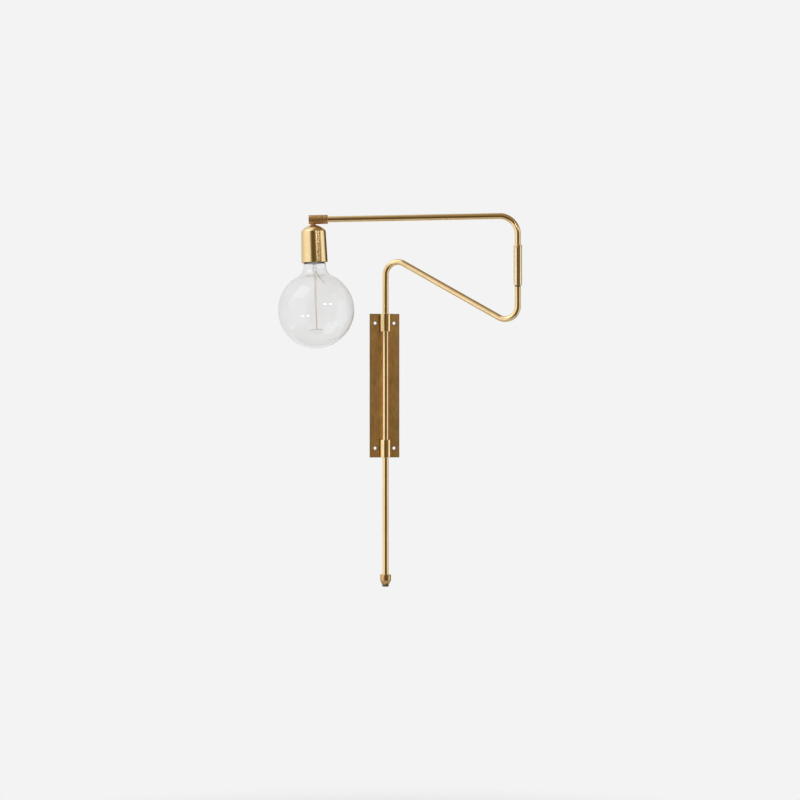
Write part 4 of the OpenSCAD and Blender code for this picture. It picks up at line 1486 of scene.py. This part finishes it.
    def holder(self) -> bpy.types.Object:
        """Makes the lampholder's dark shell, rounded at its mouth.

        Returns:
            The shell.
        """
        foot = -self.crown_drop - self.cup_h - self.holder_stub
        top = foot + self.holder_h
        bore = self.holder_r - self.holder_wall
        throat = self.neck_r + SNUG
        outline = loop(
            [
                (bore, foot), (self.holder_r, foot), (self.holder_r, top), (throat, top),
                (throat, top - self.holder_lid), (bore, top - self.holder_lid),
            ],
            {1: self.holder_mouth_edge, 2: self.holder_top_edge, 5: self.holder_inner_edge},
        )
        return turned_piece("holder_shell", filled_in(outline, self.holder_row_step), self.stance.head())

    def threaded_shell(self) -> bpy.types.Object:
        """Makes the brass shell that the lamp's cap screws into.

        Returns:
            The shell.
        """
        outline = hoop(self.shell_bore_r, self.shell_r, self.shell_z, self.shell_top_z, 0, 0)
        outline = filled_in(np.concatenate([outline, outline[:1]]), self.shell_row_step)[:-1]
        rolled = thread(self.thread_depth, self.thread_pitch, self.shell_z, self.shell_top_z, self.shell_r)
        return turned_piece("threaded_shell", outline, self.stance.head(), columns=FEW_COLUMNS, relief=rolled)

    def build(self, shop: Workshop) -> None:
        """Makes and dresses the head.

        Args:
            shop: Where the pieces get their finish.
        """
        shop.fit(self.barrel(), ANTIQUE_BRASS, "head", "swivel_barrel")
        shop.fit(self.neck(), ANTIQUE_BRASS, "head", "head_nipple")
        shop.fit(self.neck_cap(), ANTIQUE_BRASS, "head", "neck_cap")
        shop.fit(self.cup(), CUP_BRASS, "head", "holder_cup")
        shop.fit(self.holder(), BLACK_NYLON, "head", "lampholder_shell")
        shop.fit(self.threaded_shell(), COLLAR_BRASS, "head", "screw_shell")
        shop.dress(STEEL, "tilt_stop_screw", "nipple_nut", "terminal_screws")
        shop.dress(CERAMIC, "terminal_block")
        shop.dress(BRUSHED_BRASS, "centre_contact", "side_contact")


@dataclass
class GlobeLamp:
    """The clear globe lamp: glass, screw cap, inner stem and filament."""

    stance: Stance
    globe_r: float = 62.5
    globe_drop: float = 148.2
    neck_r: float = 18.7
    flare_r: float = 17.0
    glass_wall: float = 0.8
    shoulder_r: float = 2.5
    top_z: float = -71.2
    mouth_r: float = 12.0
    mouth_z: float = -63.7
    cap_r: float = 13.0
    cap_z: float = -69.7
    cap_l: float = 21.0
    cap_metal: float = 0.4
    cap_shoulder_w: float = 3.0
    cap_shoulder_h: float = 2.0
    thread_depth: float = 0.8
    thread_pitch: float = 3.62
    thread_rise: float = 3.0
    cap_edge: float = 0.8
    cap_row_step: float = 0.3
    mouth_turn: float = 0.8
    shoulder_steps: int = 10
    flare_steps: int = 24
    globe_steps: int = 110
    stem_foot_r: float = 10.8
    stem_foot_z: float = -65.7
    stem_foot_h: float = 6.0
    stem_foot_wall: float = 1.0
    stem_r: float = 3.0
    stem_edges: tuple[float, ...] = (0.3, 0.3, 2.0, 0.8)
    stem_edge_steps: int = 8
    stem_row_step: float = 0.5
    pinch_z: float = -84.8
    pinch_w: float = 8.0
    pinch_t: float = 3.0
    pinch_h: float = 6.0
    pinch_blend: float = 2.5
    pinch_blend_h: float = 7.0
    wire_points: int = 25
    wire_columns: int = 12
    lead_sink: float = 0.3
    lead_r: float = 0.3
    lead_x: float = 2.6
    lead_bend: float = 1.2
    strand_r: float = 0.45
    strand_top_x: float = 1.7
    strand_foot_x: float = 0.95
    strand_spread: float = 1.2
    filament_top: float = -87.8
    filament_l: float = 91.0
    getter_top: tuple[float, float] = (-1.0, 0.8)
    getter_bend: tuple[float, float] = (-4.0, 1.1)
    getter_bend_drop: float = 5.5
    getter_foot: tuple[float, float] = (-15.5, 2.0)
    getter_drop: float = 20.0
    anchor_gap: float = 0.9
    anchor_half: float = 12.0
    anchor_fall: float = 1.5
    anchor_sink: float = 0.05
    anchor_pull: float = 40.0
    arch_share: float = 0.6
    arch_rise: float = 0.4
    arch_crown: float = 0.1

    def glass_side(self, inset: float) -> np.ndarray:
        """Draws the glass from its mouth down to the globe's lowest point.

        The globe is an arc about its centre. A hollow arc of its own radius touches both the globe and the
        straight neck, so its centre lies at the root of (R + f)^2 - x^2 above the globe's centre.

        Args:
            inset: How far the line lies inside the glass's outer face.

        Returns:
            Radius and height, from the mouth down.
        """
        body = self.globe_r - inset
        neck = self.neck_r - inset
        flare = self.flare_r + inset
        flare_x = neck + flare
        rise = math.sqrt((body + flare) ** 2 - flare_x**2)
        meet = math.degrees(math.atan2(rise, flare_x))
        shoulder = self.shoulder_r - inset
        mouth = self.mouth_r - inset
        top = self.top_z - inset
        return np.concatenate(
            [
                [[mouth, self.mouth_z], [mouth, top + self.mouth_turn], [mouth + self.mouth_turn, top]],
                arc((neck - shoulder, top - shoulder), shoulder, 90, 0, self.shoulder_steps),
                arc((flare_x, rise - self.globe_drop), flare, 180, 180 + meet, self.flare_steps),
                arc((0, -self.globe_drop), body, meet, -90, self.globe_steps)[1:],
            ]
        )

    def glass(self) -> bpy.types.Object:
        """Makes the glass as a closed wall between its outer and inner faces.

        Returns:
            The glass.
        """
        outline = np.concatenate([self.glass_side(0.0)[::-1], self.glass_side(self.glass_wall)])
        outline[[0, -1], 0] = 0.0
        return turned_piece("globe_glass", outline, self.stance.head(), False, MOST_COLUMNS)

    def cap(self) -> bpy.types.Object:
        """Makes the screw cap with its rolled thread.

        Returns:
            The cap.
        """
        r = self.cap_r
        top = self.cap_z + self.cap_l
        low_shoulder = top - self.cap_shoulder_h
        inner_top = r - self.cap_shoulder_w - self.cap_metal
        outline = rounded(
            [
                (r - self.cap_metal, self.cap_z), (r, self.cap_z), (r, low_shoulder),
                (r - self.cap_shoulder_w, top), (inner_top, top - self.cap_metal),
                (r - self.cap_metal, low_shoulder - self.cap_metal), (r - self.cap_metal, self.cap_z),
            ],
            {2: self.cap_edge, 5: self.cap_edge},
        )
        outline = filled_in(outline, self.cap_row_step)[:-1]
        rolled = thread(self.thread_depth, self.thread_pitch, self.cap_z + self.thread_rise, low_shoulder, r)
        return turned_piece("screw_cap", outline, self.stance.head(), relief=rolled)

    def stem(self) -> bpy.types.Object:
        """Makes the inner glass: a flared foot, a thin tube and a flattened pinch.

        Below the tube each ring goes over from a circle to the pinch's flat shape: its x grows to half the
        pinch's width and its y shrinks to half the pinch's thickness as the height falls.

        Returns:
            The stem.
        """
        tube_top = self.stem_foot_z - self.stem_foot_h
        blend_top = self.pinch_z + self.pinch_h + self.pinch_blend
        foot_r = self.stem_foot_r
        outline = rounded(
            [
                (0, tube_top), (foot_r - self.stem_foot_wall, self.stem_foot_z), (foot_r, self.stem_foot_z),
                (self.stem_r, tube_top), (self.stem_r, self.pinch_z), (0, self.pinch_z),
            ],
            dict(enumerate(self.stem_edges, 1)),
            self.stem_edge_steps,
        )
        outline = filled_in(outline, self.stem_row_step)
        grid = turned_grid(outline, even_angles(TUBE_COLUMNS), None)
        share = np.clip((blend_top - grid[..., 2]) / self.pinch_blend_h, 0, 1)
        share = share * share * (3 - 2 * share)
        grid[..., 0] *= 1 + share * (self.pinch_w / 2 / self.stem_r - 1)
        grid[..., 1] *= 1 + share * (self.pinch_t / 2 / self.stem_r - 1)
        grid = self.stance.head().place(grid)
        return mesh_from_grid("inner_stem", grid, down_lengths(outline, False), False)

    def wire(self, name: str, points: list[tuple[float, float, float]], radius: float) -> bpy.types.Object:
        """Makes a smooth wire through three or more points.

        The middle line is the sum of the points, each times its Bernstein share of t.

        Args:
            name: The wire's name.
            points: The points that pull the line, first and last on it.
            radius: The wire's radius.

        Returns:
            The wire.
        """
        pull = np.array(points, float)
        order = len(pull) - 1
        t = np.linspace(0, 1, self.wire_points)[:, None]
        numbers = np.arange(order + 1)
        choose = np.array([math.comb(order, k) for k in numbers])
        path = (choose * t**numbers * (1 - t) ** (order - numbers)) @ pull
        across = np.cross(pull[-1] - pull[0], [0.0, 0.0, 1.0])
        if not across.any():
            across = ACROSS
        across = across / np.linalg.norm(across)
        return swept_piece(name, path, across, radius, 0, self.stance.head(), self.wire_columns)

    def joined(self, name: str, parts: list[bpy.types.Object]) -> bpy.types.Object:
        """Joins pieces that form one thing into one object.

        Args:
            name: The new object's name.
            parts: The pieces.

        Returns:
            The joined object.
        """
        whole = bmesh.new()
        for part in parts:
            whole.from_mesh(part.data)
            bpy.data.objects.remove(part)
        mesh = bpy.data.meshes.new(name)
        whole.to_mesh(mesh)
        whole.free()
        return linked(name, mesh)

    def leads(self) -> bpy.types.Object:
        """Makes the two short leads and the long slanting wire beside them.

        Returns:
            The wires as one object.
        """
        low = self.pinch_z - self.lead_sink
        wires = [
            self.wire(
                f"lead_{number}",
                [
                    (side * self.lead_x, 0, low), (side * self.lead_x, 0, low - self.lead_bend),
                    (side * self.strand_top_x, 0, self.filament_top + self.lead_sink),
                ],
                self.lead_r,
            )
            for number, side in enumerate((-1, 1))
        ]
        slant = [
            (*self.getter_top, low), (*self.getter_bend, low - self.getter_bend_drop),
            (*self.getter_foot, self.pinch_z - self.getter_drop),
        ]
        wires.append(self.wire("slanting", slant, self.lead_r))
        return self.joined("lead_wires", wires)

    def filament(self) -> bpy.types.Object:
        """Makes the two coated strands, with blunt ends.

        Returns:
            The strands as one object.
        """
        foot = self.filament_top - self.filament_l
        strands = [
            self.wire(
                f"strand_{number}",
                [
                    (side * self.strand_top_x, 0, self.filament_top),
                    (side * self.strand_foot_x * self.strand_spread, 0, (self.filament_top + foot) / 2),
                    (side * self.strand_foot_x, 0, foot),
                ],
                self.strand_r,
            )
            for number, side in enumerate((-1, 1))
        ]
        return self.joined("filament_strands", strands)

    def anchor(self) -> bpy.types.Object:
        """Makes the centre wire and the shallow arch across its foot.

        Returns:
            The wires as one object.
        """
        foot = self.filament_top - self.filament_l - self.anchor_gap
        tip = foot - self.anchor_fall
        start = self.pinch_z - self.anchor_sink
        upright = [(0, 0, start), (0, 0, foot / 2 - self.anchor_pull), (0, 0, foot)]
        half = self.anchor_half
        bend = half * self.arch_share
        rise = foot + self.arch_rise
        arch = [
            (-half, 0, tip), (-bend, 0, rise), (0, 0, foot + self.arch_crown),
            (bend, 0, rise), (half, 0, tip),
        ]
        wires = [self.wire("centre", upright, self.lead_r), self.wire("arch", arch, self.lead_r)]
        return self.joined("anchor_wire", wires)

    def build(self, shop: Workshop) -> None:
        """Makes and dresses the lamp.

        Args:
            shop: Where the pieces get their finish.
        """
        shop.fit(self.glass(), CLEAR_GLASS, "head", "bulb_glass")
        shop.fit(self.stem(), CLEAR_GLASS, "head", "bulb_stem")
        shop.fit(self.cap(), CAP_METAL, "head", "bulb_cap")
        shop.fit(self.leads(), DARK_WIRE, "head", "bulb_leads")
        shop.fit(self.filament(), FILAMENT, "head", "bulb_filament")
        shop.fit(self.anchor(), STEEL, "head", "bulb_anchor")
        shop.dress(BLACK_NYLON, "bulb_cap_insulator")
        shop.dress(STEEL, "bulb_contact")


# A card darker than this level turns warm, and fully so once it is darker by the span
WARM_BELOW = 0.6
WARM_SPAN = 0.4
GREEN_TAKEN = 0.3
BLUE_TAKEN = 0.7


@dataclass(frozen=True)
class Card:
    """One stretch of the studio's surround, seen in the metal: where it ends and how light it is.

    Pale cards are neutral, and dark ones are as warm as a wooden room. The warmth rises from 0 to 1 as the
    level falls, and takes a share of the green and a larger one of the blue.
    """

    ends_at: float
    level: float

    def colour(self) -> tuple[float, float, float, float]:
        """Gives the card's colour, which is warmer the darker it is.

        Returns:
            Red, green, blue and a full alpha.
        """
        warmth = min(1.0, max(0.0, (WARM_BELOW - self.level) / WARM_SPAN))
        green, blue = (self.level * (1 - taken * warmth) for taken in (GREEN_TAKEN, BLUE_TAKEN))
        return (self.level, green, blue, 1.0)


@dataclass(frozen=True)
class Softbox:
    """An oblong studio lamp: degrees to the camera's right and above level, distance, size and brightness."""

    name: str
    azimuth: float
    elevation: float
    reach: float
    width: float
    height: float
    level: float


@dataclass
class Studio:
    """The pale room round the lamp: surround, floor, lamps and camera."""

    azimuth: float = -10.0
    distance: float = 4000.0
    look_right: float = 26.2
    look_up: float = -24.0
    lens: float = 107.6
    sight_m: float = 50.0
    backdrop: tuple[float, float, float] = (243, 243, 243)
    floor_z: float = -900.0
    floor_r: float = 1500.0
    floor_fade: float = 1000.0
    floor_faded: float = 0.97
    floor_glow: float = 0.6
    floor_rough: float = 0.8
    floor_patch_mm: float = 40.0
    floor_dark: tuple[float, float, float] = (236, 236, 236)
    floor_light: tuple[float, float, float] = (240, 240, 240)
    cards: tuple[Card, ...] = (
        Card(-180, 0.9), Card(-168, 0.9), Card(-150, 0.78), Card(-125, 0.68), Card(-105, 0.84),
        Card(-88, 0.98), Card(-72, 1.06), Card(-56, 1.06), Card(-44, 1.04), Card(-34, 0.96), Card(-29, 0.7),
        Card(-24, 0.2),
        Card(-18, 0.11), Card(5, 0.11), Card(12, 0.13), Card(18, 0.24), Card(24, 0.14), Card(34, 0.2),
        Card(44, 0.2), Card(54, 0.24), Card(64, 0.32), Card(70, 0.78), Card(78, 1.12), Card(90, 1.15),
        Card(104, 0.95), Card(114, 0.5), Card(122, 0.08), Card(150, 0.08), Card(163, 0.5), Card(172, 0.9),
        Card(180, 0.9),
    )
    ceiling: tuple[Card, ...] = (
        Card(-180, 0.57), Card(-130, 0.9), Card(-90, 1.0), Card(-30, 0.95), Card(-14, 0.6), Card(-5, 0.33),
        Card(60, 0.3), Card(150, 0.3), Card(180, 0.57),
    )
    ceiling_rise: tuple[float, float] = (0.2, 0.55)
    ground: float = 0.42
    ground_fall: tuple[float, float] = (-0.5, -0.98)
    seen_through_glass: float = 0.75
    softboxes: tuple[Softbox, ...] = (
        Softbox("soft_key", -62, 48, 2600, 1500, 1500, 0.9),
        Softbox("glint", 24, 18, 2300, 330, 190, 6.5),
        Softbox("side_glint", 43, 18.5, 2300, 290, 150, 5.5),
    )

    def toward_camera(self, azimuth: float, elevation: float) -> np.ndarray:
        """Gives a direction as seen from the lamp.

        Args:
            azimuth: Degrees to the right of the camera.
            elevation: Degrees above level.

        Returns:
            A unit vector.
        """
        turn = math.radians(self.azimuth + azimuth)
        lift = math.radians(elevation)
        return np.array([math.sin(turn) * math.cos(lift), -math.cos(turn) * math.cos(lift), math.sin(lift)])

    def ring(
        self, nodes: Nodes, share: bpy.types.NodeSocket, cards: tuple[Card, ...]
    ) -> bpy.types.NodeSocket:
        """Adds a ring of cards that go over into one another.

        Args:
            nodes: The surround's nodes.
            share: How far round the lamp a direction lies, 0.5 towards the camera.
            cards: The cards in order, the first at -180 degrees and the last at 180.

        Returns:
            A colour socket.
        """
        node = nodes.add("ShaderNodeValToRGB", share)
        stops = node.color_ramp.elements
        stops[0].position = 0.0
        stops[1].position = 1.0
        for card in cards:
            place = 0.5 + card.ends_at / 360
            stop = stops[0] if place <= 0 else stops[len(stops) - 1] if place >= 1 else stops.new(place)
            stop.color = card.colour()
        return node.outputs[0]

    def surround(self) -> None:
        """Lights the scene from a ring of cards, plain where it is seen directly or through glass.

        The ring's level depends on the direction's angle round the lamp, atan2 of x and -y. Higher up it goes
        over to the ceiling's own ring, and further down to the ground's level.
        """
        world = bpy.data.worlds.new("studio")
        bpy.context.scene.world = world
        nodes = Nodes(world, "ShaderNodeOutputWorld")
        where = nodes.add("ShaderNodeTexCoord").outputs["Generated"]
        parts = nodes.add("ShaderNodeSeparateXYZ", where).outputs
        angle = nodes.maths("ARCTAN2", parts["X"], nodes.maths("MULTIPLY", parts["Y"], -1))
        turned = nodes.maths("MULTIPLY_ADD", angle, 1 / (2 * math.pi), 0.5 - self.azimuth / 360)
        share = nodes.maths("FRACT", turned)
        level = self.ring(nodes, share, self.cards)
        above = self.ring(nodes, share, self.ceiling)
        below = (self.ground, self.ground, self.ground, 1)
        for start, end, cap in ((*self.ceiling_rise, above), (*self.ground_fall, below)):
            level = nodes.blend(nodes.ramp(parts["Z"], start, end), level, cap)
        studio_light = nodes.add("ShaderNodeBackground", level).outputs[0]
        pale = nodes.add("ShaderNodeBackground", display(*self.backdrop)).outputs[0]
        rays = nodes.add("ShaderNodeLightPath").outputs
        glassy = rays["Is Transmission Ray"]
        through = nodes.maths("MULTIPLY_ADD", glassy, self.seen_through_glass, rays["Is Camera Ray"])
        mixed = nodes.add("ShaderNodeMixShader", through, studio_light, pale)
        nodes.feed(nodes.output.inputs["Surface"], mixed.outputs[0])

    def floor(self) -> None:
        """Lays a pale round floor that keeps the lamp's shadow and fades out into the backdrop.

        Seen directly, a share of the floor is the backdrop's own colour, and the rest is lit and shaded.
        """
        angles = even_angles(FEW_COLUMNS)
        rim = np.column_stack([np.cos(angles), np.sin(angles)]) * self.floor_r
        points = np.column_stack([rim, np.full(len(rim), self.floor_z)]) * MM
        mesh = bpy.data.meshes.new("floor")
        mesh.from_pydata(points.tolist(), [], [list(range(len(points)))])
        ground = linked("floor", mesh)
        nodes = Nodes.of_material("floor")
        spot = nodes.add("ShaderNodeVectorMath", nodes.place((1, 1, 0)))
        spot.operation = "LENGTH"
        edge = self.floor_r * MM * self.floor_faded
        fade = nodes.ramp(spot.outputs["Value"], self.floor_fade * MM, edge)
        patches = nodes.noise(nodes.place(), self.floor_patch_mm)
        tone = nodes.blend(patches, display(*self.floor_dark), display(*self.floor_light))
        solid = nodes.add("ShaderNodeBsdfPrincipled", Base_Color=tone, Roughness=self.floor_rough).outputs[0]
        pale = nodes.add("ShaderNodeEmission", display(*self.backdrop)).outputs[0]
        direct = nodes.add("ShaderNodeLightPath").outputs["Is Camera Ray"]
        glow = nodes.maths("MULTIPLY", direct, self.floor_glow)
        seen = nodes.add("ShaderNodeMixShader", glow, solid, pale).outputs[0]
        clear = nodes.add("ShaderNodeBsdfTransparent").outputs[0]
        mixed = nodes.add("ShaderNodeMixShader", fade, seen, clear).outputs[0]
        nodes.feed(nodes.output.inputs["Surface"], mixed)
        mesh.materials.append(nodes.owner)

    def hang(self, box: Softbox) -> None:
        """Hangs a studio lamp that faces the wall lamp.

        Its power is its level, which is how bright its face looks where 1 is white, times pi and its area in
        square metres.

        Args:
            box: The lamp.
        """
        light = bpy.data.lights.new(box.name, "AREA")
        light.shape = "RECTANGLE"
        light.size, light.size_y = box.width * MM, box.height * MM
        light.energy = box.level * math.pi * light.size * light.size_y
        hung = linked(box.name, light)
        hung.location = tuple(self.toward_camera(box.azimuth, box.elevation) * box.reach * MM)
        turn = math.radians(self.azimuth + box.azimuth)
        hung.rotation_euler = (math.radians(90 - box.elevation), 0, turn)

    def camera(self) -> None:
        """Stands the camera level, at the photograph's angle."""
        right = np.array([math.cos(math.radians(self.azimuth)), math.sin(math.radians(self.azimuth)), 0.0])
        aim = right * self.look_right + np.array([0.0, 0.0, self.look_up])
        eye = bpy.data.cameras.new("camera")
        eye.lens = self.lens
        eye.clip_end = self.sight_m
        stand = linked("camera", eye)
        stand.location = tuple((aim + self.toward_camera(0, 0) * self.distance) * MM)
        stand.rotation_euler = (math.radians(90), 0, math.radians(self.azimuth))
        bpy.context.scene.camera = stand

    def build(self) -> None:
        """Sets up the whole studio."""
        bpy.context.scene.view_settings.view_transform = "Standard"
        self.surround()
        self.floor()
        for box in self.softboxes:
            self.hang(box)
        self.camera()
        log.info("studio: %d cards, camera at %.0f degrees", len(self.cards), self.azimuth)


def main() -> None:
    """Builds the lamp's sub-assemblies in order, from the wall out to the lamp, and then the studio."""
    logging.basicConfig(level=logging.INFO, format="%(name)s: %(message)s")
    stance = Stance()
    shop = Workshop()
    for assembly in (WallBracket, LowerArm, UpperArm, LampHead, GlobeLamp):
        assembly(stance).build(shop)
    Studio().build()


if __name__ == "__main__":
    main()
